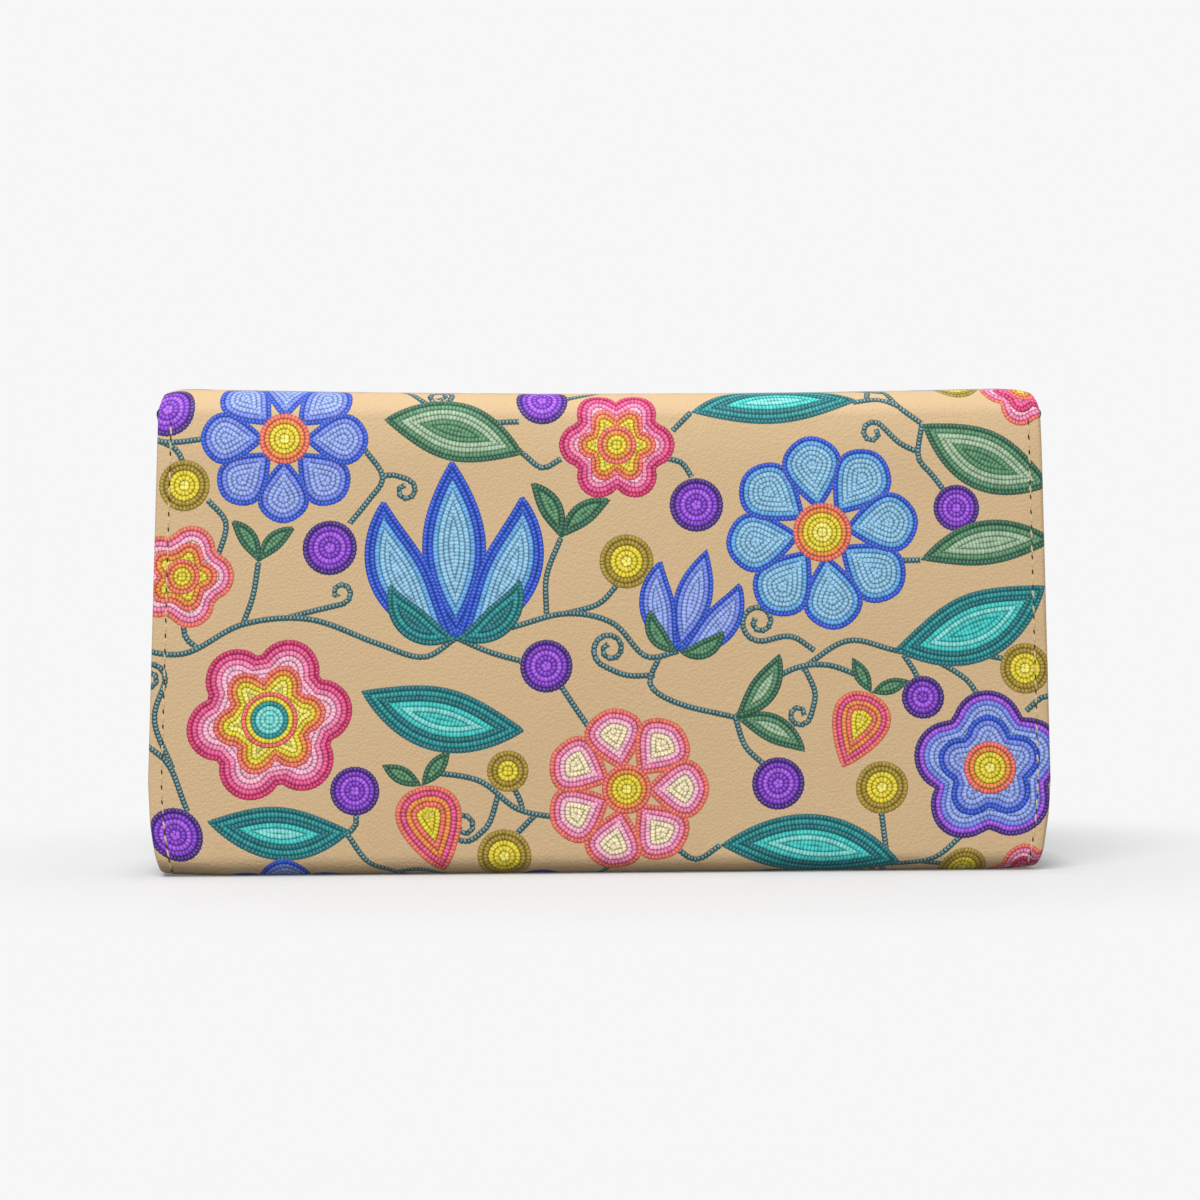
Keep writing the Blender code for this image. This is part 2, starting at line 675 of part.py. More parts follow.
def make_zip_slider():
    """A plate over the coils with a flange and lip down each side, and a bridge for the pull."""
    section = [
        (-SLIDER_OUTER, LIP_BASE_Z),
        (-LIP_REACH, LIP_BASE_Z),
        (-LIP_REACH, LIP_TOP_Z),
        (-SLIDER_INNER, LIP_TOP_Z),
        (-SLIDER_INNER, COIL_TOP_Z + GAP),
        (SLIDER_INNER, COIL_TOP_Z + GAP),
        (SLIDER_INNER, LIP_TOP_Z),
        (LIP_REACH, LIP_TOP_Z),
        (LIP_REACH, LIP_BASE_Z),
        (SLIDER_OUTER, LIP_BASE_Z),
        (SLIDER_OUTER, SLIDER_TOP_Z - COIL_SHOULDER),
        (SLIDER_OUTER - COIL_SHOULDER, SLIDER_TOP_Z),
        (-SLIDER_OUTER + COIL_SHOULDER, SLIDER_TOP_Z),
        (-SLIDER_OUTER, SLIDER_TOP_Z - COIL_SHOULDER),
    ]
    outline = [(POCKET_Y + y, z) for y, z in section]
    start = -SLIDER_END_X - SLIDER_LENGTH / 2
    slider = prism("zip_slider", outline, start, start + SLIDER_LENGTH, along_x)
    foot = SLIDER_TOP_Z - SLIDER_PLATE / 2
    ceiling = SLIDER_TOP_Z + BRIDGE_WINDOW
    crown = ceiling + BRIDGE_BAR
    inner = BRIDGE_HALF_LENGTH - BRIDGE_POST
    arch = [
        (-BRIDGE_HALF_LENGTH, foot),
        (-inner, foot),
        (-inner, ceiling),
        (inner, ceiling),
        (inner, foot),
        (BRIDGE_HALF_LENGTH, foot),
        (BRIDGE_HALF_LENGTH, crown - BRIDGE_POST),
        (inner, crown),
        (-inner, crown),
        (-BRIDGE_HALF_LENGTH, crown - BRIDGE_POST),
    ]
    arch = [(x - SLIDER_END_X, z) for x, z in arch]
    low = POCKET_Y - BRIDGE_WIDTH / 2
    bridge = prism("slider_bridge_tool", arch, low, low + BRIDGE_WIDTH, along_y)
    bridge.hide_render = True
    bridge.display_type = "WIRE"
    boolean(slider, bridge, "UNION")
    finish_metal(slider)
    return slider, bridge


def make_zip_pull():
    """A flat tab with an eye, whose cross bar lies in the slider's bridge."""
    half_width = PULL_WIDTH / 2
    outline = [(-PULL_BAR / 2, -half_width), (PULL_LENGTH - half_width, -half_width)]
    round_end = arc((PULL_LENGTH - half_width, 0.0), half_width, -90, 90, 2 * FOLD_SEGMENTS)
    outline += [(point.x, point.y) for point in round_end[1:-1]]
    outline += [(PULL_LENGTH - half_width, half_width), (-PULL_BAR / 2, half_width)]
    outline = [(x - SLIDER_END_X, y + POCKET_Y) for x, y in outline]
    low = PULL_AXIS_Z - PULL_THICKNESS / 2
    pull = prism("zip_pull", outline, low, low + PULL_THICKNESS, upright)
    eye_half = BRIDGE_WIDTH / 2 + PULL_SIDE_CLEARANCE
    eye_near = PULL_BAR / 2 - SLIDER_END_X
    eye_far = eye_near + PULL_EYE_LENGTH
    eye = [
        (eye_near, POCKET_Y - eye_half),
        (eye_far, POCKET_Y - eye_half),
        (eye_far, POCKET_Y + eye_half),
        (eye_near, POCKET_Y + eye_half),
    ]
    cutter = prism("pull_eye_cutter", eye, low - PULL_THICKNESS, low + 2 * PULL_THICKNESS, upright)
    cutter.hide_render = True
    cutter.display_type = "WIRE"
    boolean(pull, cutter)
    finish_metal(pull)
    return pull, cutter


def make_snap_stud():
    """A pressed plate with a headed stud, riveted through the front panel."""
    seat = HALF_DEPTH - SNAP_RECESS_DEPTH + GAP
    face = HALF_DEPTH + SNAP_PLATE_RISE
    tip = face + STUD_HEIGHT
    shoulder = face + STUD_HEIGHT / 2
    rivet = HALF_DEPTH - COVER_THICKNESS
    ease = SNAP_PLATE_RISE / 2
    profile = [
        (0, rivet),
        (STUD_POST_RADIUS, rivet),
        (STUD_POST_RADIUS, seat),
        (SNAP_PLATE_RADIUS, seat),
        (SNAP_PLATE_RADIUS, face - ease),
        (SNAP_PLATE_RADIUS - ease, face),
        (STUD_NECK_RADIUS, face),
        (STUD_HEAD_RADIUS, shoulder),
        (STUD_HEAD_RADIUS, tip - ease),
        (STUD_NECK_RADIUS, tip),
        (0, tip),
    ]
    stud = turned_about_y("snap_stud", profile, (0.0, SNAP_Z))
    finish_metal(stud)
    return stud


def make_snap_socket():
    """A cup set through the flap's lining, with a thin flange over the lining."""
    flange_top = FLAP_LINING_FACE_Y - GAP
    face = flange_top - SOCKET_FLANGE_THICKNESS
    back = FLAP_COVER_INNER_Y + SOCKET_RECESS_DEPTH - GAP
    bore = STUD_HEAD_RADIUS + SOCKET_BORE_CLEARANCE
    profile = [
        (0, back),
        (SNAP_PLATE_RADIUS, back),
        (SNAP_PLATE_RADIUS, flange_top),
        (SOCKET_FLANGE_RADIUS, flange_top),
        (SOCKET_FLANGE_RADIUS, face),
        (bore, face),
        (bore, back - SOCKET_END_WALL),
        (0, back - SOCKET_END_WALL),
    ]
    socket = turned_about_y("snap_socket", profile, (0.0, SNAP_Z))
    finish_metal(socket)
    return socket


def build():
    clear_scene()
    wallet = add_pivot("wallet", (0.0, 0.0, 0.0))
    wallet.location.y = CENTRING_Y
    rear_crease = add_pivot("rear_crease_axis", rear_axis_place(), wallet)
    front_crease = add_pivot("front_crease_axis", front_axis_place(), rear_crease)
    slider_place = (-SLIDER_END_X, POCKET_Y, SLIDER_TOP_Z)
    slider_seat = add_pivot("slider_seat", slider_place, wallet)
    pull_axis = add_pivot("pull_axis", (-SLIDER_END_X, POCKET_Y, PULL_AXIS_Z), slider_seat)

    case_pieces = [make_case_cover(), make_case_lining(), make_snap_stud(), make_coin_pocket()]
    case_pieces += [make_gusset("gusset_left", -1), make_gusset("gusset_right", 1)]
    case_pieces += [make_card_panel(index) for index in range(CARD_PANEL_COUNT)]
    for word, side in (("rear", -1), ("front", 1)):
        case_pieces.append(make_zip_tape(f"zip_tape_{word}", side))
        case_pieces.append(make_zip_coil(f"zip_coil_{word}", side))
    for word, side in (("left", -1), ("right", 1)):
        case_pieces.append(make_zip_stop(f"zip_stop_{word}", side))
    case_pieces.append(bpy.data.objects["stud_seat_cutter"])
    groups = [
        (wallet, case_pieces),
        (rear_crease, [make_spine_cover(), make_spine_lining()]),
        (front_crease, [*make_flap_cover(), *make_flap_lining(), make_snap_socket()]),
        (slider_seat, make_zip_slider()),
        (pull_axis, make_zip_pull()),
    ]
    for pivot, pieces in groups:
        for piece in pieces:
            carry(piece, pivot)


build()
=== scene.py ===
import math

import bpy
import numpy as np
from mathutils import Matrix, Vector
from mathutils.geometry import delaunay_2d_cdt


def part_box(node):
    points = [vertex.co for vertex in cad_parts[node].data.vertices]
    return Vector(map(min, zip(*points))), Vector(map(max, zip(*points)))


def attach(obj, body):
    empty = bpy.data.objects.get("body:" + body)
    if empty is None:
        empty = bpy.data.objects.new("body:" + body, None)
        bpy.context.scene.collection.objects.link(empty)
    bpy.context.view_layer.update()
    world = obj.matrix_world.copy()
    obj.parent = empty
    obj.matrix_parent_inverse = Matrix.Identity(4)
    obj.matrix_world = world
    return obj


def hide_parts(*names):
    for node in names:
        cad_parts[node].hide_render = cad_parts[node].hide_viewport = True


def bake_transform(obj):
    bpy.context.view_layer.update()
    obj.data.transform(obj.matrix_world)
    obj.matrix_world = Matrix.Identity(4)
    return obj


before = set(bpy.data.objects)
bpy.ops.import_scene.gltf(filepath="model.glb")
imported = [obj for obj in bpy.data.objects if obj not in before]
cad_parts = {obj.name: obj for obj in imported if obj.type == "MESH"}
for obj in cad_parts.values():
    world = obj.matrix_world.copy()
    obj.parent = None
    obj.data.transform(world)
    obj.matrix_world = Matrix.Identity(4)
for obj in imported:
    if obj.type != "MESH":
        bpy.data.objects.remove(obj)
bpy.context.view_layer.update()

bpy.ops.object.select_all(action="DESELECT")

# The wallet's shell is one sheet of coated cloth over thin board. It runs from the front panel's
# top edge under the base, up the back, over the top and down the front as the flap. Its side
# edges are turned, and a run along it is measured in millimetres from the middle of the base.
MM = 0.001


def box_mm(node):
    """The low and the high corner of a CAD node, in millimetres."""
    return [Vector(corner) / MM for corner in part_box(node)]


case_low, case_high = box_mm("case_cover")
flap_high = box_mm("flap_cover")[1]
HALF_WIDTH = case_high.x
HEIGHT = box_mm("spine_cover")[1].z
BELLY_HEIGHT = 20.0
TOP_NARROWING = 2.7
BASE_NARROWING = 2.2
CREASE_NARROWING = 0.8
COVER_THICKNESS = 1.7
BASE_FOLD_RADIUS = 4.5
TOP_FOLD_RADIUS = 5.0
FRONT_PANEL_TOP = HEIGHT - 8.0
FLAP_END_Z = HEIGHT - 80.0
FLAP_CORNER_RADIUS = 12.0
PANEL_CORNER_RADIUS = 2.5

BASE_MIDDLE_Y = (case_low.y + case_high.y) / 2
BASE_ARC = math.pi / 2 * BASE_FOLD_RADIUS
TOP_ARC = math.pi / 2 * TOP_FOLD_RADIUS
STRETCHES = [  # length and fold radius
    ((case_high.y - case_low.y) / 2 - BASE_FOLD_RADIUS, 0.0),
    (BASE_ARC, BASE_FOLD_RADIUS),
    (HEIGHT - TOP_FOLD_RADIUS - BASE_FOLD_RADIUS, 0.0),
    (TOP_ARC, TOP_FOLD_RADIUS),
    (flap_high.y - case_low.y - 2 * TOP_FOLD_RADIUS, 0.0),
    (TOP_ARC, TOP_FOLD_RADIUS),
    (HEIGHT - TOP_FOLD_RADIUS - FLAP_END_Z, 0.0),
]
RUN_ENDS = list(np.cumsum([length for length, radius in STRETCHES]))
BACK_FOOT, BACK_TOP, SPINE_START, SPINE_END, FLAP_TOP, FLAP_END = RUN_ENDS[1:]
SPINE_MIDDLE = (SPINE_START + SPINE_END) / 2
PANEL_TOP_RUN = -(BACK_FOOT + FRONT_PANEL_TOP - BASE_FOLD_RADIUS)
PANEL_SPLIT_RUN = -(BACK_FOOT + 44.0)


def folded(run, depth):
    """Where a point lies in Y and Z, at a run along the sheet and a depth under its outer face."""
    along = np.abs(np.asarray(run, float))
    depth = np.broadcast_to(np.asarray(depth, float), along.shape)
    y, z = np.zeros_like(along), np.zeros_like(along)
    at, heading, start = np.zeros(2), math.pi, 0.0
    for index, (length, radius) in enumerate(STRETCHES):
        is_last = index == len(STRETCHES) - 1
        here = (along >= start) & ((along <= start + length) | is_last)
        step = along[here] - start
        inward = np.array([math.sin(heading), -math.cos(heading)])
        if radius:
            centre = at + inward * radius
            turn = heading - step / radius
            y[here] = centre[0] - np.sin(turn) * (radius - depth[here])
            z[here] = centre[1] + np.cos(turn) * (radius - depth[here])
            heading -= length / radius
            at = centre - np.array([math.sin(heading), -math.cos(heading)]) * radius
        else:
            way = np.array([math.cos(heading), math.sin(heading)])
            y[here] = at[0] + way[0] * step + inward[0] * depth[here]
            z[here] = at[1] + way[1] * step + inward[1] * depth[here]
            at = at + way * length
        start += length
    return BASE_MIDDLE_Y + np.where(np.asarray(run) < 0, -y, y), z


def half_width_at(run):
    """Half the cover's width: fullest a little above the base, and narrower towards the top."""
    height = folded(run, 0.0)[1]
    low = HALF_WIDTH - BASE_NARROWING * np.clip(1 - height / BELLY_HEIGHT, 0, 1) ** 2
    rise = np.clip((height - BELLY_HEIGHT) / (HEIGHT - BELLY_HEIGHT), 0, 1)
    over_fold = np.clip((height - HEIGHT + TOP_FOLD_RADIUS) / TOP_FOLD_RADIUS, 0, 1)
    wide = low - TOP_NARROWING * rise - CREASE_NARROWING * over_fold ** 2
    return np.where(np.asarray(run) > SPINE_END, np.minimum(wide, HALF_WIDTH - TOP_NARROWING), wide)


stud_low, stud_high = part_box("snap_stud")
SNAP_HEIGHT = (stud_low[2] + stud_high[2]) / 2 / MM
SNAP_PULL = 15.0
BULGE = 0.45
RIPPLE = 0.12
RIPPLE_LENGTH = 17.0
TOP_SAG = 1.25
CORNER_DROP = 1.4
CORNER_REACH = 6.5
CORNER_LIFT = 0.9
LIFT_REACH = 10.0
TOP_LEAN = 1.6
LEAN_REACH = 14.0


def settled(x, y, z):
    """The sheet's sag along the top edge, and its bulge except where the snap holds it flat."""
    middle = 1 - (x / HALF_WIDTH) ** 2
    climb = np.clip((z - HEIGHT / 2) / (HEIGHT / 2), 0, 1)
    swell = np.sin(math.pi * np.clip(z / HEIGHT, 0, 1))
    side = np.clip(y / HALF_WIDTH * 8, -1, 1)
    ripple = RIPPLE * np.sin(x / RIPPLE_LENGTH + 1.3) * swell
    from_snap = x ** 2 + (z - SNAP_HEIGHT) ** 2
    held = np.where(y > 0, np.exp(-from_snap / (2 * SNAP_PULL ** 2)), 0.0)
    out = (BULGE * middle + ripple) * swell * side * (1 - held)
    near_top = np.clip((z - HEIGHT + LEAN_REACH) / LEAN_REACH, 0, 1)
    lean = TOP_LEAN * near_top ** 1.7 * np.where(y < 0, side, 0)
    past_middle = np.abs(x) - HALF_WIDTH
    near_end = np.clip((past_middle + TOP_NARROWING + CORNER_REACH) / CORNER_REACH, 0, 1)
    drop = TOP_SAG * middle * climb ** 2 + CORNER_DROP * near_end ** 2 * climb ** 12
    low_end = np.clip((past_middle + BASE_NARROWING + LIFT_REACH) / LIFT_REACH, 0, 1)
    lift = CORNER_LIFT * low_end ** 2 * np.clip(1 - z / LIFT_REACH, 0, 1)
    return x, y + out - lean, z - drop + lift

# The cover's print: flowers, leaves, berries and curling stems drawn as rows of small round
# dots, like sewn beads. It is printed flat on the coated cloth before the sheet is cut, and
# repeats along the sheet. Everything here is drawn in millimetres, with y up the back.
REPEAT = 106.0
REPEAT_START = BACK_FOOT - BASE_FOLD_RADIUS
BEAD_ROW = 1.06
BEAD_LENGTH = 0.78
ROW_STEP = 1.5
STEM_WIDTH = 1.26
STEM_LAYER, FIRST_LAYER, SECOND_LAYER, THIRD_LAYER = range(4)
STEM_KIND, INNER_KIND, SHAPE_KIND = 0.5, 0.85, 1.0

INKS = {
    "stem": "#2A5C60",
    "teal_dark": "#0F6A70", "teal": "#17898B", "teal_light": "#35BDB8", "mint": "#76D2CC",
    "green_dark": "#2A5E46", "green": "#508560", "green_light": "#98B494",
    "blue_dark": "#2450C4", "blue_light": "#5FA0DA", "sky": "#88BCDC",
    "lavender": "#6F83E0", "lavender_light": "#8EA4E6",
    "purple_dark": "#42207A", "purple": "#7934BE", "purple_light": "#9A50DA",
    "yellow": "#DDC92C", "yellow_dark": "#9C8428", "straw": "#E9DC62",
    "pink_dark": "#C22C62", "pink": "#DE4F86", "pink_light": "#EC7FA8", "blush": "#F2AFC6",
    "coral": "#E26A5C", "orange": "#E2883C", "cream": "#EFE0B4",
}
PLUM_BERRY = "purple_dark purple purple_light purple purple_light purple_light"
GOLD_BERRY = "yellow_dark yellow_dark yellow yellow straw yellow"
TEAL_LEAF = "teal_dark teal teal_dark teal_light mint teal_light"
GREEN_LEAF = "green_dark green green_light green_light green"
BLUE_PETAL = "blue_dark blue_dark blue_light sky sky"
SKY_PETAL = "blue_dark blue_light sky sky"
LAVENDER_PETAL = "blue_dark lavender lavender_light lavender_light"
PINK_PETAL = "pink_dark pink pink_light blush blush"
CORAL_PETAL = "coral pink_light blush cream"
VIOLET_PETAL = "purple_dark purple_light lavender lavender_light lavender_light"
ORANGE_PETAL = "coral orange yellow straw"
GOLD_EYE = "coral orange yellow yellow straw"
TEAL_EYE = "coral yellow teal mint"
HIP = "coral pink orange coral yellow"

outlines = []
stems = []


def turned(x, y, angle):
    """A point or points turned about the origin."""
    return x * math.cos(angle) - y * math.sin(angle), x * math.sin(angle) + y * math.cos(angle)


def blade(length, width, bend=0.0, lean=1.0, fullness=0.9):
    """A pointed shape about a bent middle line, from its foot at the origin along X."""
    share = np.linspace(0, 1, 40)
    turn = math.radians(bend) * (share - 0.5)
    pitch = length / (len(share) - 1)
    x = np.concatenate([[0], np.cumsum(np.cos(turn[1:]) * pitch)])
    y = np.concatenate([[0], np.cumsum(np.sin(turn[1:]) * pitch)])
    half = width / 2 * np.sin(math.pi * share ** lean) ** fullness
    lower = np.stack([x + np.sin(turn) * half, y - np.cos(turn) * half], 1)
    upper = np.stack([x - np.sin(turn) * half, y + np.cos(turn) * half], 1)
    return np.vstack([lower, upper[::-1][1:-1]])


def round_shape(radius, lobes=0, depth=0.0):
    turn = np.linspace(0, 2 * math.pi, 72, endpoint=False)
    reach = np.full_like(turn, radius)
    if lobes:
        reach = radius * (1 - depth + depth * np.abs(np.cos(lobes * turn / 2)) ** 0.8)
    return np.stack([reach * np.cos(turn), reach * np.sin(turn)], 1)


def ink_shape(shape, x, y, turn, palette, layer=FIRST_LAYER, most_rows=99):
    """Place a shape on the cloth, to be filled with bead rows in the palette's inks."""
    across, up = turned(shape[:, 0], shape[:, 1], math.radians(turn))
    outlines.append((np.stack([x + across, y + up], 1), palette.split(), layer, most_rows))


def ink_berries(palette, *berries):
    for x, y, radius in berries:
        ink_shape(round_shape(radius), x, y, 0, palette)


def ink_leaf(x, y, turn, length, width, bend, palette=TEAL_LEAF):
    ink_shape(blade(length, width, bend), x, y, turn, palette)


def ink_daisy(x, y, radius, petals, palette, turn=0):
    """Separate round petals about a gold eye."""
    heart = 0.3 * radius
    foot = 0.75 * heart
    petal = blade(radius - foot, 1.49 * radius * math.tan(math.pi / petals), lean=1.5, fullness=0.6)
    for index in range(petals):
        way = turn + 360 * index / petals
        foot_x, foot_y = turned(foot, 0, math.radians(way))
        ink_shape(petal, x + foot_x, y + foot_y, way, palette)
    ink_shape(round_shape(heart), x, y, 0, GOLD_EYE, SECOND_LAYER)


def ink_rosette(x, y, radius, lobes, outer, inner, eye, turn=0):
    """A lobed flower with a smaller lobed one and a round eye on it."""
    outer_rows = max(2, int(0.6 * radius / BEAD_ROW))
    inner_rows = max(2, int(0.4 * radius / BEAD_ROW))
    ink_shape(round_shape(radius, lobes, 0.24), x, y, turn, outer, FIRST_LAYER, outer_rows)
    ink_shape(round_shape(0.68 * radius, lobes, 0.3), x, y, turn, inner, SECOND_LAYER, inner_rows)
    ink_shape(round_shape(0.34 * radius), x, y, 0, eye, THIRD_LAYER)


def ink_lily(x, y, turn, height, palette, sepals):
    """Three pointed petals that open from one foot, with two sepals."""
    ink_shape(blade(height, 0.36 * height), x, y, turn, palette)
    for side in (-1, 1):
        petal = blade(0.92 * height, 0.34 * height, -62 * side)
        ink_shape(petal, x, y, turn + 27 * side, palette, SECOND_LAYER)
        sepal = blade(0.52 * height, 0.18 * height, -80 * side)
        ink_shape(sepal, x, y, turn + 50 * side, sepals, THIRD_LAYER)


def ink_hip(x, y, turn, length):
    """A drop-shaped fruit with two sepals at its foot."""
    ink_shape(blade(length, 0.74 * length, lean=0.62, fullness=0.8), x, y, turn, HIP)
    for spread in (-50, 50):
        ink_shape(blade(0.5 * length, 0.2 * length), x, y, turn + 180 + spread, GREEN_LEAF, SECOND_LAYER)


def ink_sprig(x, y, turn, length):
    """Two leaflets that open from one foot."""
    for side in (-1, 1):
        leaflet = blade(length, 0.36 * length, 40 * side)
        ink_shape(leaflet, x, y, turn + 40 * side, GREEN_LEAF, FIRST_LAYER + (side > 0))


def curled(line, turns, radius, side):
    """A line that goes on from its end into a flat spiral."""
    way = line[-1] - line[-2]
    way = way / np.linalg.norm(way)
    centre = line[-1] + side * radius * np.array([-way[1], way[0]])
    spoke = line[-1] - centre
    count = int(28 * turns)
    for step in range(1, count + 1):
        share = 1 - (1 - 1.1 / radius) * step / count
        turn = side * 2 * math.pi * turns * step / count
        line = np.vstack([line, centre + share * np.array(turned(*spoke, turn))])
    return line


def ink_stem(points, curl):
    """A smooth stem through the points. A curl is its turns, its radius and its side."""
    given = np.array(points, float)
    guide = np.vstack([2 * given[0] - given[1], given, 2 * given[-1] - given[-2]])
    share = np.linspace(0, 1, 24, endpoint=False)[:, None]
    line = []
    for before, start, end, after in zip(guide, guide[1:], guide[2:], guide[3:]):
        bent = (2 * before - 5 * start + 4 * end - after) * share ** 2
        bent = bent + (3 * start - before - 3 * end + after) * share ** 3
        line.append((2 * start + (end - before) * share + bent) / 2)
    line = np.vstack(line + [given[-1]])
    stems.append(curled(line, *curl) if curl else line)


ink_daisy(47, 72, 21, 8, SKY_PETAL, 8)
ink_daisy(5, 18, 17.5, 7, CORAL_PETAL)
ink_daisy(-68, 92, 18, 8, LAVENDER_PETAL)
ink_rosette(-70, 33, 17.5, 6, PINK_PETAL, ORANGE_PETAL, TEAL_EYE, 10)
ink_rosette(82, 22, 16.5, 5, VIOLET_PETAL, LAVENDER_PETAL, GOLD_EYE, 20)
ink_rosette(3, 91, 12.5, 6, PINK_PETAL, ORANGE_PETAL, GOLD_EYE)
ink_rosette(-89, 63, 11, 5, CORAL_PETAL, ORANGE_PETAL, GOLD_EYE)
ink_rosette(92, 103, 9, 5, CORAL_PETAL, PINK_PETAL, GOLD_EYE, 36)
ink_lily(-31, 50, 92, 38, BLUE_PETAL, TEAL_LEAF)
ink_lily(16, 47, 74, 22.5, LAVENDER_PETAL, GREEN_LEAF)
ink_hip(-38, 19, -78, 19)
ink_hip(57, 38, -112, 17)
ink_leaf(-51, 39, -14, 36, 13.5, 25)
ink_leaf(25, 6, -6, 40, 13.5, -22)
ink_leaf(62, 47, 22, 36, 14.5, 30)
ink_leaf(-53, 9.6, 176, 30.5, 11.4, -24)
ink_leaf(-17, 89, 166, 31, 13, 20, GREEN_LEAF)
ink_leaf(69, 95, -26, 31, 13, 20, GREEN_LEAF)
ink_leaf(19, 98, 4, 37, 10.5, -18)
ink_leaf(68, 66, 8, 30, 9.5, -26, GREEN_LEAF)
ink_sprig(28, 33, 14, 17)
ink_sprig(-9, 71, 78, 14)
ink_sprig(-73, 66, 84, 11)
ink_berries(PLUM_BERRY, (-58, 69, 5.8), (37, 19, 5.6), (20, 78, 5.8), (-90, 9, 5.8), (-12, 44, 5.6),
            (76, 77, 5.0), (-93, 98, 5.8), (-13, 101, 5.6), (-52, 18, 5.2), (68, 37, 4.6))
ink_berries(GOLD_BERRY, (5, 66, 5.8), (-21, 4, 5.8), (90, 43, 5.4), (-89, 82, 5.4), (59, 18, 5.6),
            (78, 106, 5.2), (-20, 22, 4.4))

# Each line is one stem: its points, and after a semicolon the turns, radius and side of its curl.
STEM_LINES = """
-99 48, -88 47, -76 53, -62 54, -48 49, -38 46, -31 50
-66.5 54.4, -61 55.8, -55 57.2; 0.95 2.4 1
-76 53, -74 59, -73 66
-31 50, -24 47, -17 45
-31 50, -20 52, -8 55, 2 53, 9 46, 16 47
-8 55, -1 57, 3 61
-12 55, -12 63, -9 71
12 46, 10 40, 16 36, 28 33
11 42, 5 42, 0 44; 1.4 3.8 -1
28 33, 30 27, 34 23
28 33, 38 42, 47 44, 56 41
43 43, 45 38, 44 33; 1.0 2.5 -1
42 43, 52 49, 62 47
45 47, 40 50, 34 49; 1.4 4.2 -1
62 47, 70 45, 77 41, 80 37
64 46, 66 43, 67 41
72 45, 79 46, 86 45
-9 12, -18 14, -26 20, -37 22
-17 14, -17.5 16, -19 19
-14 13, -17 10, -19 8
-22 17, -24 11, -27 8; 1.4 3.4 -1
-54 9, -50 3, -44 0, -38 -6, -30 -10, -18 -10
-54 9, -52 11, -52 14
-45 0, -39 1, -34 -1; 1.4 3.0 -1
-36 100, -34 97, -26 96, -17 89
-51 90, -47 84, -50 79, -54 74
-47.5 84, -45 84.5, -41.5 83.5; 0.95 2.4 -1
-9 88, -13 86, -17 89
14 88, 17 87, 19 84
15 94, 17 96, 19 98
54.4 100, 60 100.6, 64 99
15 6, 20 3, 25 6
62.2 1.4, 71 2.8, 77 8
61.4 2, 60 8, 59 13
69 2, 75 1, 76 -1
58 112, 62 103, 64 99, 69 95
58 6, 58.5 -1, 57.5 -5.7
62 103, 56 105, 50 109; 1.4 3.4 -1
69 95, 68 88, 71 84, 74 80
68 89, 64 91, 60 95; 1.0 2.5 1
60 67, 64 66, 68 66
-82 66, -80 74, -84 79
-88.5 55, -88 50.5, -85 47.8
-87 14, -91 24, -99 30
-90 23, -94 33, -92 41; 1.3 3.4 1
2 2.5, -1.5 -2, -9 -5
90 34, 94 37, 99 36
0 27, -5 34, -9 40
-99 92, -92 91, -84 92
-95 91.5, -91 89.5, -89 86
"""
for row in STEM_LINES.strip().splitlines():
    points, _, curl = row.partition(";")
    ink_stem([point.split() for point in points.split(",")], [float(value) for value in curl.split()])

# The three lengths of the cover as it is folded: the back with the base and the foot of the
# front panel, the rest of the front panel, and the flap. The print runs on round the turned
# side edges.
RIM_RADIUS = COVER_THICKNESS / 2
PRINT_FLAT_HALF = HALF_WIDTH - RIM_RADIUS
RIM_WRAP = math.pi * RIM_RADIUS
PRINT_HALF = PRINT_FLAT_HALF + RIM_WRAP
RIM_STEPS = 4
INNER_COLUMNS = 16
PRINT_CELL = 3.0
FOLD_STEP, FLAT_STEP, ACROSS_STEP = 1.2, 8.0, 20.0
ACROSS_REACH = 80.0
CORNER_POINTS = {PANEL_CORNER_RADIUS: 3, FLAP_CORNER_RADIUS: 10}
SHARP_ANGLE = math.radians(50)
PICTURE_FACE, PICTURE_EDGE = 0.93, 0.95
NEAR = 1e-3


def even_steps(start, end, longest):
    return np.linspace(start, end, max(1, math.ceil(abs(end - start) / longest)) + 1)


def fold_lines(start, end):
    """Runs at which the sheet gets a line across, close together on the folds."""
    runs = np.concatenate([even_steps(near, far, FOLD_STEP if radius else FLAT_STEP)
                           for near, far, (_, radius) in zip([0.0] + RUN_ENDS, RUN_ENDS, STRETCHES)])
    return sorted({round(run, 4) for run in (*runs, *-runs) if start < run < end} | {start, end})


def to_flat(across, run):
    """From the print's even width to the sheet's own width at each run."""
    inner = half_width_at(run) - RIM_RADIUS
    beyond = np.abs(across) - PRINT_FLAT_HALF
    return np.where(beyond <= 0, across * inner / PRINT_FLAT_HALF, np.sign(across) * (inner + beyond))


def to_print(flat, run):
    inner = half_width_at(run) - RIM_RADIUS
    beyond = np.abs(flat) - inner
    return np.where(beyond <= 0, flat * PRINT_FLAT_HALF / inner, np.sign(flat) * (PRINT_FLAT_HALF + beyond))


def trim_corner(end, way, corner):
    """A finished end's last flat run, and the middle and radius of its corner's flat face."""
    last = end - way * RIM_RADIUS
    radius = corner - RIM_RADIUS
    return last, half_width_at(end) - RIM_RADIUS - radius, last - way * radius, radius


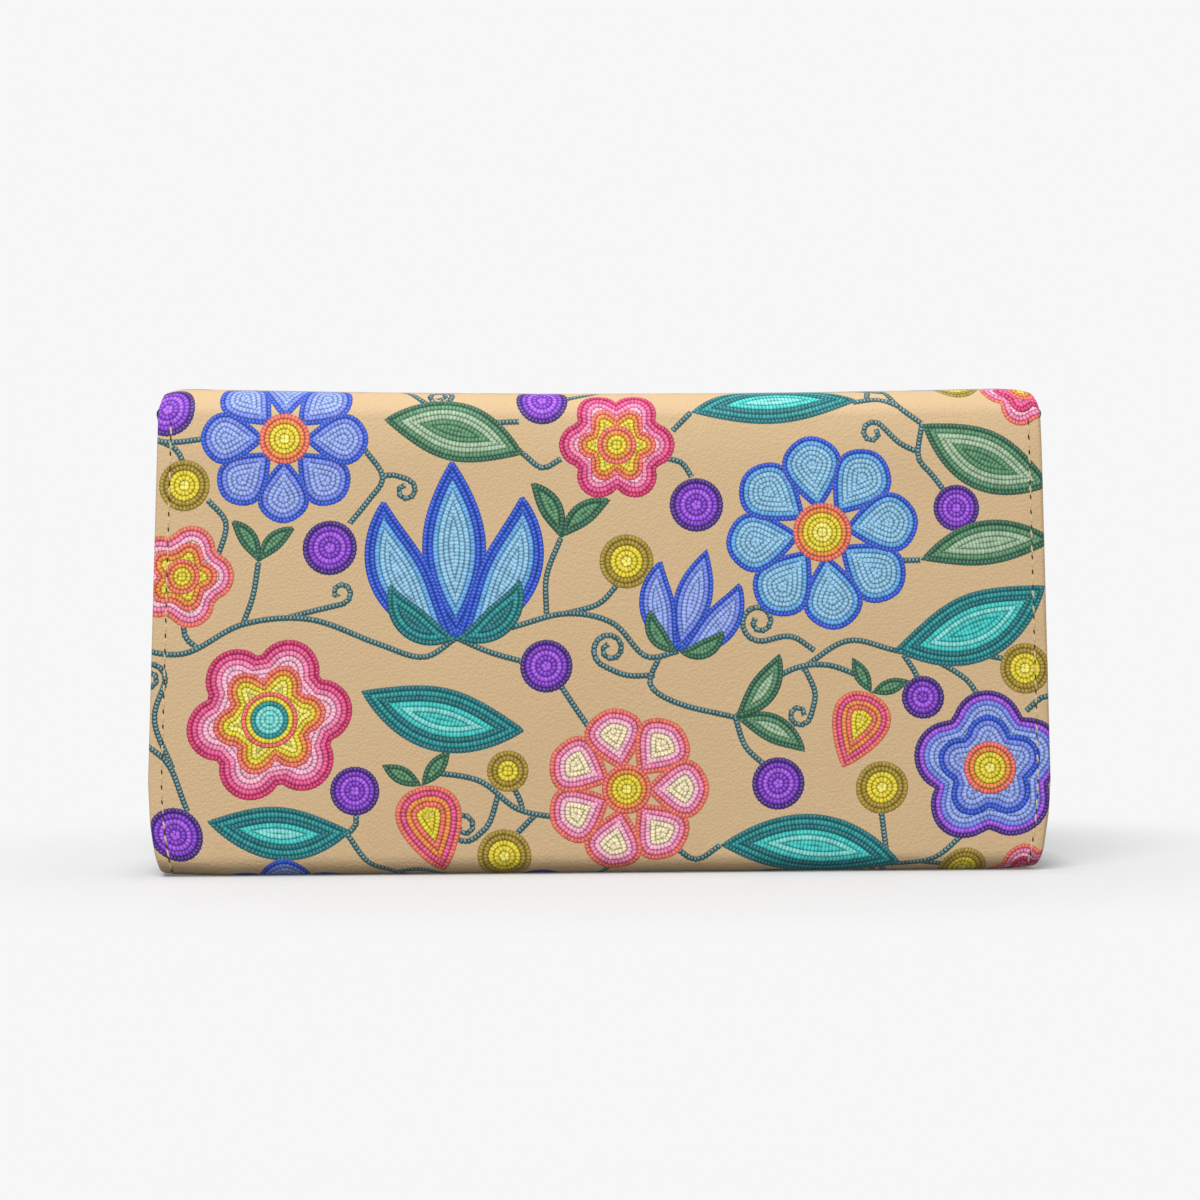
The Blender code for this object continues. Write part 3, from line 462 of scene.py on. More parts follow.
def rim_reach(flat, run, end, way, corner):
    """How far each point lies past the sheet's flat face, with the nearest point of that face.

    way is 1 or -1 where the sheet's end or its start is a finished edge, and 0 where both run on.
    """
    across = np.abs(flat)
    inner = half_width_at(run) - RIM_RADIUS
    reach = np.maximum(across - inner, 0)
    foot_x, foot_run = np.minimum(across, inner), np.array(run, float)
    pull_x = np.where(across > inner, 1.0, 0.0)
    pull_run = np.zeros_like(pull_x)
    if way:
        last, centre_x, centre_run, radius = trim_corner(end, way, corner)
        over_x, over_run = across - centre_x, way * (run - centre_run)
        distance = np.maximum(np.hypot(over_x, over_run), 1e-9)
        way_x, way_run = over_x / distance, way * over_run / distance
        in_corner = (over_x > 0) & (over_run > 0)
        turned_in = in_corner & (distance > radius)
        in_end = (over_x <= 0) & (way * (run - last) > 0)
        reach = np.where(in_corner, np.maximum(distance - radius, 0), reach)
        pull_x = np.where(turned_in, way_x, np.where(in_corner, 0, pull_x))
        pull_run = np.where(turned_in, way_run, pull_run)
        foot_x = np.where(turned_in, centre_x + radius * way_x, np.where(in_corner, across, foot_x))
        foot_run = np.where(turned_in, centre_run + radius * way_run, foot_run)
        reach = np.where(in_end, way * (run - last), reach)
        pull_run = np.where(in_end, way, pull_run)
        foot_run = np.where(in_end, last, foot_run)
    return reach, foot_x, foot_run, pull_x, pull_run


def on_sheet(flat, run, trim):
    """Wrap flat points round the turned edges and fold them onto the wallet."""
    reach, foot_x, foot_run, pull_x, pull_run = rim_reach(flat, run, *trim)
    turn = np.clip(reach / RIM_RADIUS, 0, math.pi)
    out = RIM_RADIUS * np.sin(turn)
    y, z = folded(foot_run + pull_run * out, RIM_RADIUS * (1 - np.cos(turn)))
    return np.stack(settled(np.sign(flat) * (foot_x + pull_x * out), y, z), 1)


def edge_lines(start, trim, reach):
    """The lines at a reach past the flat face, in print points: one round a finished end, or two."""
    end, way, corner = trim
    if not way:
        return [[(side * (PRINT_FLAT_HALF + reach), run) for run in (start, end)] for side in (-1, 1)]
    centre_x, centre_run, radius = trim_corner(*trim)[1:]
    points = [(PRINT_FLAT_HALF + reach, start)]
    for angle in np.linspace(0, math.pi / 2, CORNER_POINTS[corner]):
        flat = centre_x + (radius + reach) * math.cos(angle)
        run = centre_run + way * (radius + reach) * math.sin(angle)
        points.append((float(to_print(flat, centre_run)), run))
    right = np.array(points)
    return [np.vstack([right, (right * [-1, 1])[::-1]])]


def evenly_spaced(points, step, closed=False):
    """A line or outline with points about a step apart."""
    points = np.vstack([points, points[:1]]) if closed else np.asarray(points)
    passed = np.concatenate([[0], np.cumsum(np.linalg.norm(np.diff(points, axis=0), axis=1))])
    at = np.linspace(0, passed[-1], max(7 if closed else 2, round(passed[-1] / step)) + 1)
    spaced = np.stack([np.interp(at, passed, points[:, 0]), np.interp(at, passed, points[:, 1])], 1)
    return spaced[:-1] if closed else spaced


def linear(code):
    """A colour code's linear red, green and blue."""
    values = [int(code[place:place + 2], 16) / 255 for place in (1, 3, 5)]
    return [value / 12.92 if value < 0.04045 else ((value + 0.055) / 1.055) ** 2.4 for value in values]


def headings(line):
    return line / np.linalg.norm(line, axis=1)[:, None]


class PrintedCloth:
    """The printed shapes of one length of cloth, as flat points, edges and faces.

    A face is its corners, its layer, its ink, its corners' places in the bead rows, and the rows'
    heading.
    """

    def __init__(self, start, end):
        self.points, self.edges, self.faces = [], [], []
        self.count = 0
        for repeat in range(-2, 3):
            shift = np.array([0.0, REPEAT_START + repeat * REPEAT])
            for line in stems:
                self.add_where(start, end, line + shift, self.add_stem)
            for outline, *filling in outlines:
                self.add_where(start, end, outline + shift, self.add_rows, *filling)
        self.points = np.vstack(self.points)

    def add_where(self, start, end, line, add, *filling):
        if line[:, 1].max() > start and line[:, 1].min() < end:
            add(line, *filling)

    def add_points(self, points):
        self.points.append(points)
        self.count += len(points)
        return self.count - len(points)

    def add_rows(self, outline, palette, layer, most_rows):
        """Fill a shape with bead rows that follow its outline, out to in."""
        edge = evenly_spaced(outline, ROW_STEP, closed=True)
        count = len(edge)
        way = headings(np.roll(edge, -1, 0) - np.roll(edge, 1, 0))
        inward = np.stack([-way[:, 1], way[:, 0]], 1)
        apart = edge[None] - edge[:, None]
        toward = (apart * inward[:, None]).sum(2)
        room = (apart ** 2).sum(2) / (2 * np.maximum(toward, 1e-9))
        room[toward < 1e-6] = 1e9
        room = room.min(1)
        rows = max(1, round(room.max() / BEAD_ROW))
        pitch = room.max() / rows
        rows = min(rows, most_rows)
        first = self.add_points(edge)
        backing = [0.5 * part for part in linear(INKS[palette[min(rows, len(palette)) - 1]])]
        self.faces.append((list(range(first, first + count)), layer, backing, None, (1, 0)))
        self.edges += [(first + index, first + (index + 1) % count) for index in range(count)]
        rings = [edge + np.minimum(row * pitch, room)[:, None] * inward for row in range(rows + 1)]
        first = self.add_points(np.vstack(rings))
        for row in range(rows):
            middle = (rings[row] + rings[row + 1]) / 2
            lengths = np.linalg.norm(np.roll(middle, -1, 0) - middle, axis=1)
            passed = np.concatenate([[0], np.cumsum(lengths)])
            beads = passed / passed[-1] * max(3, round(passed[-1] / BEAD_LENGTH))
            ink = linear(INKS[palette[min(row, len(palette) - 1)]])
            depths = row + np.clip((room - row * pitch) / pitch, 0.0, 1.0)
            for index in range(count):
                following = (index + 1) % count
                if max(room[index], room[following]) <= row * pitch + 1e-6:
                    continue
                a, b = first + row * count + index, first + row * count + following
                c, d = b + count, a + count
                near, far = (beads[index], row), (beads[index + 1], row)
                far_in, near_in = (far[0], depths[following]), (near[0], depths[index])
                self.edges += [(d, c), (a, d)]
                if far_in[1] > row:
                    self.faces.append(([a, b, c], layer + 0.5, ink, (near, far, far_in), way[index]))
                if near_in[1] > row:
                    self.faces.append(([a, c, d], layer + 0.5, ink, (near, far_in, near_in), way[index]))

    def add_stem(self, line):
        """Lay a single row of beads along a line."""
        line = evenly_spaced(line, ROW_STEP)
        way = headings(np.gradient(line, axis=0))
        side = np.stack([-way[:, 1], way[:, 0]], 1) * STEM_WIDTH / 2
        lengths = np.linalg.norm(np.diff(line, axis=0), axis=1)
        beads = np.concatenate([[0], np.cumsum(lengths)]) / BEAD_LENGTH
        first = self.add_points(np.vstack([line - side, line + side]))
        ink = linear(INKS["stem"])
        for index, (near, far) in enumerate(zip(beads, beads[1:])):
            a, b = first + index, first + index + 1
            c, d = b + len(line), a + len(line)
            self.edges += [(a, b), (d, c), (a, d)]
            self.faces.append(([a, b, c], STEM_LAYER, ink, ((near, 0), (far, 0), (far, 1)), way[index]))
            self.faces.append(([a, c, d], STEM_LAYER, ink, ((near, 0), (far, 1), (near, 1)), way[index]))


def inside_outline(places, outline):
    """Which places an outline holds."""
    inside = np.zeros(len(places), dtype=bool)
    for start, end in zip(outline, np.roll(outline, -1, 0)):
        crosses = (start[1] > places[:, 1]) != (end[1] > places[:, 1])
        rise = end[1] - start[1] if end[1] != start[1] else 1.0
        inside ^= crosses & (places[:, 0] < start[0] + (places[:, 1] - start[1]) / rise * (end[0] - start[0]))
    return inside


def shape_under(places, cloth):
    """The topmost printed face that holds each place, or -1 on the bare ground."""
    owners = np.full(len(places), -1)
    tops = np.full(len(places), -1.0)
    places_in, faces_in = {}, {}
    for index, cell in enumerate(map(tuple, np.floor(places / PRINT_CELL).astype(int))):
        places_in.setdefault(cell, []).append(index)
    for number, (corners, layer, *_) in enumerate(cloth.faces):
        outline = cloth.points[corners]
        low, high = outline.min(0), outline.max(0)
        if len(corners) > 3:
            near = np.nonzero(((places >= low) & (places <= high)).all(1))[0]
            better = near[inside_outline(places[near], outline) & (tops[near] < layer)]
            owners[better], tops[better] = number, layer
            continue
        first, last = np.floor([low / PRINT_CELL, high / PRINT_CELL]).astype(int)
        for cell_x in range(first[0], last[0] + 1):
            for cell_y in range(first[1], last[1] + 1):
                faces_in.setdefault((cell_x, cell_y), []).append(number)
    for cell in faces_in.keys() & places_in.keys():
        numbers, here = np.array(faces_in[cell]), np.array(places_in[cell])
        corners = cloth.points[np.array([cloth.faces[number][0] for number in numbers])]
        held = np.ones((len(here), len(numbers)), dtype=bool)
        for side in range(3):
            near, far = corners[:, side], corners[:, (side + 1) % 3]
            span = (far - near)[None]
            off = places[here][:, None] - near[None]
            held &= span[..., 0] * off[..., 1] - span[..., 1] * off[..., 0] >= -1e-6
        heights = np.where(held, np.array([cloth.faces[number][1] for number in numbers]), -1.0)
        best = heights.argmax(1)
        better = heights[np.arange(len(here)), best] > tops[here]
        owners[here[better]] = numbers[best[better]]
    return owners


def printed_sheet(name, start, end, way, corner):
    """One closed length of the cover, with the print in its outer face."""
    finished = end if way > 0 else start
    low = start - (RIM_WRAP if way < 0 else 0)
    high = end + (RIM_WRAP if way > 0 else 0)
    trim = (finished, way, corner)
    cloth = PrintedCloth(low, high)
    points, moved_to = np.unique(np.round(cloth.points, 3), axis=0, return_inverse=True)
    drawn = np.sort(moved_to.ravel()[np.array(cloth.edges)], axis=1)
    drawn = np.unique(drawn[drawn[:, 0] != drawn[:, 1]], axis=0)
    edges = [(int(first), int(second)) for first, second in drawn]
    coordinates = [Vector(point) for point in points]

    lines = [[(-PRINT_HALF, run), (PRINT_HALF, run)] for run in fold_lines(start, end)]
    if way:
        past = high if way > 0 else low
        lines.append([(-PRINT_HALF, past), (PRINT_HALF, past)])
    for across in even_steps(-ACROSS_REACH, ACROSS_REACH, ACROSS_STEP):
        lines.append([(across, low), (across, high)])
    for step in range(RIM_STEPS + 1):
        lines += edge_lines(low if way > 0 else high, trim, RIM_WRAP * step / RIM_STEPS)
    if way:
        lines += [[(side * PRINT_HALF, low), (side * PRINT_HALF, high)] for side in (-1, 1)]
    for line in lines:
        first = len(coordinates)
        coordinates += [Vector(point) for point in line]
        edges += [(first + step, first + step + 1) for step in range(len(line) - 1)]
    result = delaunay_2d_cdt(coordinates, edges, [], 0, 1e-4, False)
    flat_points = np.array([tuple(point) for point in result[0]])
    triangles = np.array(result[2])
    centres = flat_points[triangles].mean(1)
    reach = rim_reach(to_flat(*centres.T), centres[:, 1], *trim)[0]
    inside = (centres[:, 1] > low) & (centres[:, 1] < high) & (reach < RIM_WRAP)
    inside &= np.abs(centres[:, 0]) < PRINT_HALF
    owners = shape_under(centres[inside], cloth)
    used, triangles = np.unique(triangles[inside], return_inverse=True)
    triangles = triangles.reshape(-1, 3)
    flat_points = flat_points[used]
    places = on_sheet(to_flat(*flat_points.T), flat_points[:, 1], trim)

    inks, beads, ways = [np.zeros((len(triangles), 3, size)) for size in (4, 2, 2)]
    for index, owner in enumerate(owners):
        if owner < 0:
            continue
        corners, layer, ink, values, heading = cloth.faces[owner]
        kind = STEM_KIND if layer == STEM_LAYER else INNER_KIND if layer > SECOND_LAYER else SHAPE_KIND
        inks[index] = (*ink, kind)
        ways[index] = heading
        if values is None:
            beads[index] = 0.5
            continue
        a, b, c = cloth.points[corners]
        values = np.array(values)
        spread = np.array([b - a, c - a]).T
        if abs(np.linalg.det(spread)) < 1e-7:
            beads[index] = values.mean(0)
        else:
            shares = np.linalg.solve(spread, (flat_points[triangles[index]] - a).T).T
            beads[index] = values[0] + shares @ (values[1:] - values[0])
    return closed_sheet(name, places, triangles, flat_points, (inks, beads, ways), (start, end, *trim))


def closed_sheet(name, places, triangles, flat_points, marks, shape):
    """Give the printed face its inner face and its cut ends, and make it an object."""
    start, end, finished, way, corner = shape
    corners = np.sort(np.vstack([triangles[:, [0, 1]], triangles[:, [1, 2]], triangles[:, [2, 0]]]), 1)
    pairs, times = np.unique(corners, axis=0, return_counts=True)
    rim = np.unique(pairs[times == 1])
    rim_x, rim_run = flat_points[rim].T
    limit = finished - way * corner
    rows = [row for row in fold_lines(start, end) if not way or way * (limit - row) > 0]

    def chain(chosen, order):
        """The rim's chosen points, in the order given."""
        return [int(point) for point in rim[chosen][np.argsort(order[chosen])]]

    grid, inner_places, inner_flat = [], [], []
    across = np.linspace(-1, 1, INNER_COLUMNS + 1)[1:-1]
    for row in rows:
        columns = across * (float(half_width_at(row)) - RIM_RADIUS)
        y, z = folded(np.full(len(columns), row), COVER_THICKNESS)
        grid.append([len(places) + len(inner_places) + step for step in range(len(columns))])
        inner_places.extend(np.stack(settled(columns, y, z), 1))
        inner_flat.extend((PRINT_FLAT_HALF * column, row) for column in across)
    polygons = []
    for lower, upper, near, far in zip(grid, grid[1:], rows, rows[1:]):
        between = (rim_run > near - NEAR) & (rim_run < far + NEAR)
        left, right = [chain(between & (np.abs(rim_x - side * PRINT_HALF) < NEAR), rim_run)
                       for side in (-1, 1)]
        polygons.append(left + [upper[0], lower[0]])
        polygons += [list(face) for face in zip(lower, upper, upper[1:], lower[1:])]
        polygons.append([lower[-1], upper[-1]] + right[::-1])
    if way:
        rise = way * (rim_run - limit)
        order = np.where(rise < 0, np.where(rim_x > 0, rise - 1e3, 1e3 - rise), np.arctan2(rise, rim_x))
        loop = chain(way * (rim_run - (rows[-1] if way > 0 else rows[0])) > -NEAR, order)
        polygons.append(loop[::-1] + grid[-1][::-1] if way > 0 else loop + grid[0])
    if way >= 0:
        polygons.append(chain(np.abs(rim_run - rows[0]) < NEAR, rim_x)[::-1] + grid[0])
    if way <= 0:
        polygons.append(chain(np.abs(rim_run - rows[-1]) < NEAR, rim_x) + grid[-1][::-1])

    mesh = bpy.data.meshes.new(name)
    vertices = np.vstack([places, inner_places]) * MM
    faces = [list(map(int, face)) for face in triangles] + polygons
    mesh.from_pydata([tuple(vertex) for vertex in vertices], [], faces)
    loops, printed = len(mesh.loops), triangles.size
    corner_points = np.zeros(loops, dtype=int)
    mesh.loops.foreach_get("vertex_index", corner_points)
    low = flat_points[:, 1].min()
    scale = 1 / max(2 * PRINT_HALF, (flat_points[:, 1].max() - low) / PICTURE_FACE)
    picture = ((np.vstack([flat_points, inner_flat]) - [-PRINT_HALF, low]) * scale)[corner_points]
    picture[printed:, 1] = PICTURE_EDGE + 0.04 * picture[printed:, 1]
    for word, values in zip(("ink", "beads", "row_way", "OFBake"), (*marks, picture)):
        size = values.shape[-1]
        padded = np.zeros((loops, size))
        padded[:values.size // size] = values.reshape(-1, size)
        if word == "ink":
            mesh.attributes.new(word, "FLOAT_COLOR", "CORNER").data.foreach_set("color", padded.ravel())
        else:
            mesh.uv_layers.new(name=word).data.foreach_set("uv", padded.ravel())
    mesh.validate()
    mesh.shade_smooth()
    mesh.set_sharp_from_angle(angle=SHARP_ANGLE)
    return new_piece(name, mesh)


def select_only(*pieces):
    """Select these pieces and make the first one active."""
    bpy.ops.object.select_all(action="DESELECT")
    for piece in pieces:
        piece.select_set(True)
    bpy.context.view_layer.objects.active = pieces[0]


def new_piece(name, data):
    """Put a mesh, curve or lamp into the scene under a name."""
    piece = bpy.data.objects.new(name, data)
    bpy.context.scene.collection.objects.link(piece)
    select_only(piece)
    return piece


class Nodes:
    """Adds shader nodes to one tree. An input takes a number, a colour code, a socket or a node."""

    def __init__(self, tree):
        self.tree = tree

    def feed(self, socket, source):
        """Link or set one input."""
        if isinstance(source, bpy.types.Node):
            source = source.outputs[0]
        if isinstance(source, bpy.types.NodeSocket):
            self.tree.links.new(source, socket)
        else:
            socket.default_value = (*linear(source), 1.0) if isinstance(source, str) else source

    def add(self, kind, inputs=None, **settings):
        node = self.tree.nodes.new("ShaderNode" + kind)
        for key, value in settings.items():
            setattr(node, key, value)
        for socket, source in (inputs or {}).items():
            self.feed(node.inputs[socket], source)
        return node

    def calc(self, operation, *terms):
        return self.add("Math", dict(enumerate(terms)), operation=operation).outputs[0]

    def mix(self, share, first, second):
        return self.add("Mix", {0: share, 6: first, 7: second}, data_type="RGBA").outputs[2]

    def ramp(self, value, start, end, top=1.0, shape="SMOOTHSTEP"):
        """Rise from nothing to the top as the value goes from start to end."""
        return self.add("MapRange", {"Value": value, "From Min": start, "From Max": end, "To Max": top},
                        interpolation_type=shape).outputs[0]

    def vector(self, operation, first, second):
        return self.add("VectorMath", {0: first, 1: second}, operation=operation).outputs[0]

    def noise(self, place, scale, detail=2.0):
        return self.add("TexNoise", {"Vector": place, "Scale": scale, "Detail": detail}).outputs["Fac"]

    def bump(self, height, strength, distance):
        return self.add("Bump", {"Height": height, "Strength": strength, "Distance": distance})

    def object_place(self):
        return self.add("TexCoord").outputs["Object"]

    def dress(self, looks):
        """Feed the material's own shader."""
        for socket, source in looks.items():
            self.feed(self.tree.nodes["Principled BSDF"].inputs[socket], source)


def start_group(name, inputs, outputs):
    """A shader node group with named sockets, given as (name, kind) or (name, kind, value)."""
    tree = bpy.data.node_groups.new(name, "ShaderNodeTree")
    for direction, sockets in (("INPUT", inputs), ("OUTPUT", outputs)):
        for word, kind, *value in sockets:
            socket = tree.interface.new_socket(name=word, in_out=direction, socket_type="NodeSocket" + kind)
            if value:
                socket.default_value = value[0]
    given, result = tree.nodes.new("NodeGroupInput").outputs, tree.nodes.new("NodeGroupOutput").inputs
    return tree, Nodes(tree), given, result


def start_material(name):
    material = bpy.data.materials.new(name)
    material.use_nodes = True
    return material, Nodes(material.node_tree)


GRAIN_DRIFT = 0.0003
BEAD_GLINT = 0.16


def pebble_grain_group():
    """The fine pebbled face of coated cloth: a height, and a shade for colour and gloss."""
    tree, nodes, given, result = start_group(
        "pebble_grain", [("Cell Size", "Float", 0.5), ("Unevenness", "Float", 0.5)],
        [("Height", "Float"), ("Shade", "Float")])
    place = nodes.object_place()
    drift = nodes.add("TexNoise", {"Vector": place, "Scale": 900.0, "Detail": 1.0}).outputs["Color"]
    bent = nodes.add("VectorMath", {0: drift, 1: (GRAIN_DRIFT,) * 3, 2: place}, operation="MULTIPLY_ADD")
    scale = nodes.calc("DIVIDE", 1000.0, given["Cell Size"])
    cells = nodes.add("TexVoronoi", {"Vector": bent, "Scale": scale, "Smoothness": 0.6}, feature="SMOOTH_F1")
    rise = nodes.calc("SUBTRACT", 1.0, cells.outputs["Distance"])
    uneven = nodes.calc("MULTIPLY", nodes.noise(place, 260.0, 3.0), given["Unevenness"])
    nodes.feed(result["Height"], nodes.calc("ADD", rise, uneven))
    nodes.feed(result["Shade"], nodes.calc("MULTIPLY", rise, rise))
    return tree


def bead_ink_group():
    """Shades each printed bead: bright in the middle, dark in the joints, lit from above."""
    tree, nodes, given, result = start_group(
        "bead_ink",
        [("Ink", "Color", (1, 1, 1, 1)), ("Kind", "Float", 1.0), ("Beads", "Vector"), ("Row Way", "Vector")],
        [("Color", "Color"), ("Cover", "Float")])
    calc = nodes.calc
    bead, row, _ = nodes.add("SeparateXYZ", {0: given["Beads"]}).outputs
    way_x, way_y, _ = nodes.add("SeparateXYZ", {0: given["Row Way"]}).outputs
    along, across = [calc("SUBTRACT", calc("FRACT", count), 0.5) for count in (bead, row)]
    away = calc("ADD", calc("POWER", calc("ABSOLUTE", calc("DIVIDE", along, 0.54)), 3.0),
                calc("POWER", calc("ABSOLUTE", calc("DIVIDE", across, 0.5)), 2.6))
    body = nodes.ramp(away, 1.05, 0.1)
    up = calc("ADD", calc("MULTIPLY", along, way_y), calc("MULTIPLY", across, way_x))
    number = nodes.add("CombineXYZ", {0: calc("FLOOR", bead), 1: calc("FLOOR", row)})
    chance = nodes.add("TexWhiteNoise", {"Vector": number}, noise_dimensions="3D").outputs["Value"]
    spot_x, spot_y = [calc("SUBTRACT", off, calc("MULTIPLY", way, BEAD_GLINT))
                      for off, way in ((along, way_y), (across, way_x))]
    from_spot = calc("ADD", calc("MULTIPLY", spot_x, spot_x), calc("MULTIPLY", spot_y, spot_y))
    gleam = nodes.ramp(from_spot, 0.13, 0.0)
    jitter = calc("MULTIPLY_ADD", chance, 0.44, 0.8)
    level = calc("ADD", calc("MULTIPLY_ADD", body, 0.76, 0.36), calc("MULTIPLY", up, 0.3))
    level = calc("MULTIPLY", level, jitter)
    shaded = nodes.add("VectorMath", {0: given["Ink"], "Scale": level}, operation="SCALE")
    is_stem = calc("LESS_THAN", given["Kind"], (STEM_KIND + INNER_KIND) / 2)
    pale = nodes.mix(calc("MULTIPLY_ADD", is_stem, 0.14, 0.08), given["Ink"], (1.0, 0.98, 0.96, 1.0))
    pale = nodes.add("VectorMath", {0: pale, "Scale": 1.22}, operation="SCALE")
    nodes.feed(result["Color"], nodes.mix(calc("MULTIPLY", gleam, jitter), shaded, pale))
    on_ground = calc("GREATER_THAN", given["Kind"], (INNER_KIND + SHAPE_KIND) / 2)
    at_edge = calc("MAXIMUM", calc("MULTIPLY", calc("LESS_THAN", row, 0.5), on_ground), is_stem)
    notch = calc("MULTIPLY", nodes.ramp(away, 1.0, 1.25, shape="LINEAR"), at_edge)
    printed = calc("GREATER_THAN", given["Kind"], 0.25)
    nodes.feed(result["Cover"], calc("MULTIPLY", printed, calc("SUBTRACT", 1.0, notch)))
    return tree


pebble_grain = pebble_grain_group()
bead_ink = bead_ink_group()

printed_cloth, nodes = start_material("printed_coated_cloth")
grain = nodes.add("Group", {"Cell Size": 0.55, "Unevenness": 0.15}, node_tree=pebble_grain).outputs
ink = nodes.add("Attribute", attribute_name="ink", attribute_type="GEOMETRY").outputs
beads, row_way = [nodes.add("UVMap", uv_map=name) for name in ("beads", "row_way")]
dots = nodes.add("Group", {"Ink": ink["Color"], "Kind": ink["Alpha"], "Beads": beads, "Row Way": row_way},
                 node_tree=bead_ink).outputs
ground = nodes.mix(nodes.noise(nodes.object_place(), 28.0), "#CEB086", "#D4B78F")
ground = nodes.mix(nodes.calc("MULTIPLY", grain["Shade"], 0.16), ground, "#B59264")
nodes.dress({
    "Base Color": nodes.mix(dots["Cover"], ground, dots["Color"]),
    "Roughness": nodes.calc("MULTIPLY_ADD", grain["Shade"], 0.1, 0.52),
    "Normal": nodes.bump(grain["Height"], 0.8, 0.00009),
    "Specular IOR Level": 0.25,
})

REAR_BEND = [(0.0, case_low.y * MM, 0.0965), (0.0, -0.0065, HEIGHT * MM)]
FRONT_BEND = [(0.0, 0.005, HEIGHT * MM), (0.0, flap_high.y * MM, 0.095)]


def hang_lengths(kind, back, front_panel, flap):
    """Hide the nodes that a cloth's three lengths stand in for, and let the front panel move with the case.
    """
    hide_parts("case_" + kind, "spine_" + kind)
    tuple(REAR_BEND[0])
    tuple(REAR_BEND[1])
    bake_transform(back)
    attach(front_panel, "case")
    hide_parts("flap_" + kind)
    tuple(FRONT_BEND[0])
    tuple(FRONT_BEND[1])
    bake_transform(flap)


covers = []
for name, start, end, way, corner in (
    ("cover_back", PANEL_SPLIT_RUN, SPINE_MIDDLE, 0, 0.0),
    ("cover_front_panel", PANEL_TOP_RUN, PANEL_SPLIT_RUN, -1, PANEL_CORNER_RADIUS),
    ("cover_flap", SPINE_MIDDLE, FLAP_END, 1, FLAP_CORNER_RADIUS),
):
    piece = printed_sheet(name, start, end, way, corner)
    piece.data.materials.append(printed_cloth)
    half_widths = half_width_at(np.linspace(start, end, 100))
    covers.append(piece)
hang_lengths("cover", *covers)

# The sewing that holds cover and lining together along the turned edges: single stitches of
# beige thread, about three millimetres apart. Each one dips at a slight slant between two needle
# slits, each drawn as a small dark mark whose colour is painted shade of the hole. The case has a
# line down each side, and the flap one round its free edge.
STITCH_PITCH = 3.15
STITCH_INSET = 2.8
STITCH_LENGTH = 1.95
THREAD_THICKNESS = 0.46
STITCH_SLANT = math.radians(7)
SLIT_SIZE = (1.25, 0.36, 0.1)
SEAM_END_GAP = 2.0
TOP_SEAM_SETBACK = 0.6
LINING_DEPTH = COVER_THICKNESS + 0.06
LINING_THICKNESS = 0.7


def sheet_frame(flat, run, heading, depth):
    """A matrix on the sheet: X along a heading in its plane, Z out of the face at that depth."""
    def place(across, along):
        y, z = folded(np.array([along]), depth)
        return Vector(np.array(settled(np.array([across]), y, z))[:, 0])

    here = place(flat, run)
    across = (place(flat + 0.2, run) - here).normalized()
    along = (place(flat, run + 0.2) - here).normalized()
    way = (across * heading[0] + along * heading[1]).normalized()
    out = across.cross(along).normalized() * (-1 if depth else 1)
    matrix = Matrix((way, out.cross(way), out)).transposed().to_4x4()
    matrix.translation = here * MM
    return matrix


def edit_mesh(piece, *steps):
    """Run edit steps on the whole of a piece's mesh, each an operator with its settings."""
    select_only(piece)
    bpy.ops.object.mode_set(mode="EDIT")
    for operator, settings in steps:
        bpy.ops.mesh.select_all(action="SELECT")
        operator(**settings)
    bpy.ops.object.mode_set(mode="OBJECT")


def dished_bead(name, length, width, height, material):
    """A flattened round bead whose two ends dip, lying along X on the floor of its own frame."""
    bpy.ops.mesh.primitive_uv_sphere_add(segments=8, ring_count=6, radius=MM / 2)
    bead = bpy.context.active_object
    bead.name = name
    edit_mesh(
        bead, (bpy.ops.transform.rotate, dict(value=math.pi / 2, orient_axis="Y", center_override=(0, 0, 0))),
        (bpy.ops.transform.resize, dict(value=(length, width, height), center_override=(0, 0, 0))))
    for vertex in bead.data.vertices:
        vertex.co.z -= 0.3 * height * MM * (2 * vertex.co.x / (length * MM)) ** 2
    bead.data.shade_smooth()
    bead.data.materials.append(material)
    return bead


def copies_joined(pattern, name, matrices):
    """Copy a piece to each place, each copy with its own mesh, and join the copies."""
    copies = []
    for matrix in matrices:
        copy = pattern.copy()
        copy.data = pattern.data.copy()
        copy.data.transform(matrix)
        bpy.context.scene.collection.objects.link(copy)
        copies.append(copy)
    select_only(*copies)
    bpy.ops.object.join()
    joined = bpy.context.active_object
    joined.name = joined.data.name = name
    return joined


beige_thread, nodes = start_material("beige_thread")
strands = nodes.add("TexWave", {"Vector": nodes.object_place(), "Scale": 900.0, "Distortion": 2.0},
                    bands_direction="DIAGONAL").outputs["Fac"]
nodes.dress({
    "Base Color": nodes.mix(strands, "#C2A273", "#E0C599"),
    "Normal": nodes.bump(strands, 0.5, 0.00005),
    "Roughness": 0.6,
})
# Painted shade: the needle holes have no depth, so a small dark brown mark over each stands for the shadow
# inside it.
needle_slit, nodes = start_material("needle_slit")
hole_shade_noise = nodes.noise(nodes.object_place(), 3000.0)
nodes.dress({"Base Color": nodes.mix(hole_shade_noise, "#1E150D", "#4A3624"), "Roughness": 0.9})
stitch = dished_bead("stitch", STITCH_LENGTH, THREAD_THICKNESS, 0.62 * THREAD_THICKNESS, beige_thread)
# The slit pattern carries the painted shade of a needle hole.
slit = dished_bead("slit", *SLIT_SIZE, needle_slit)

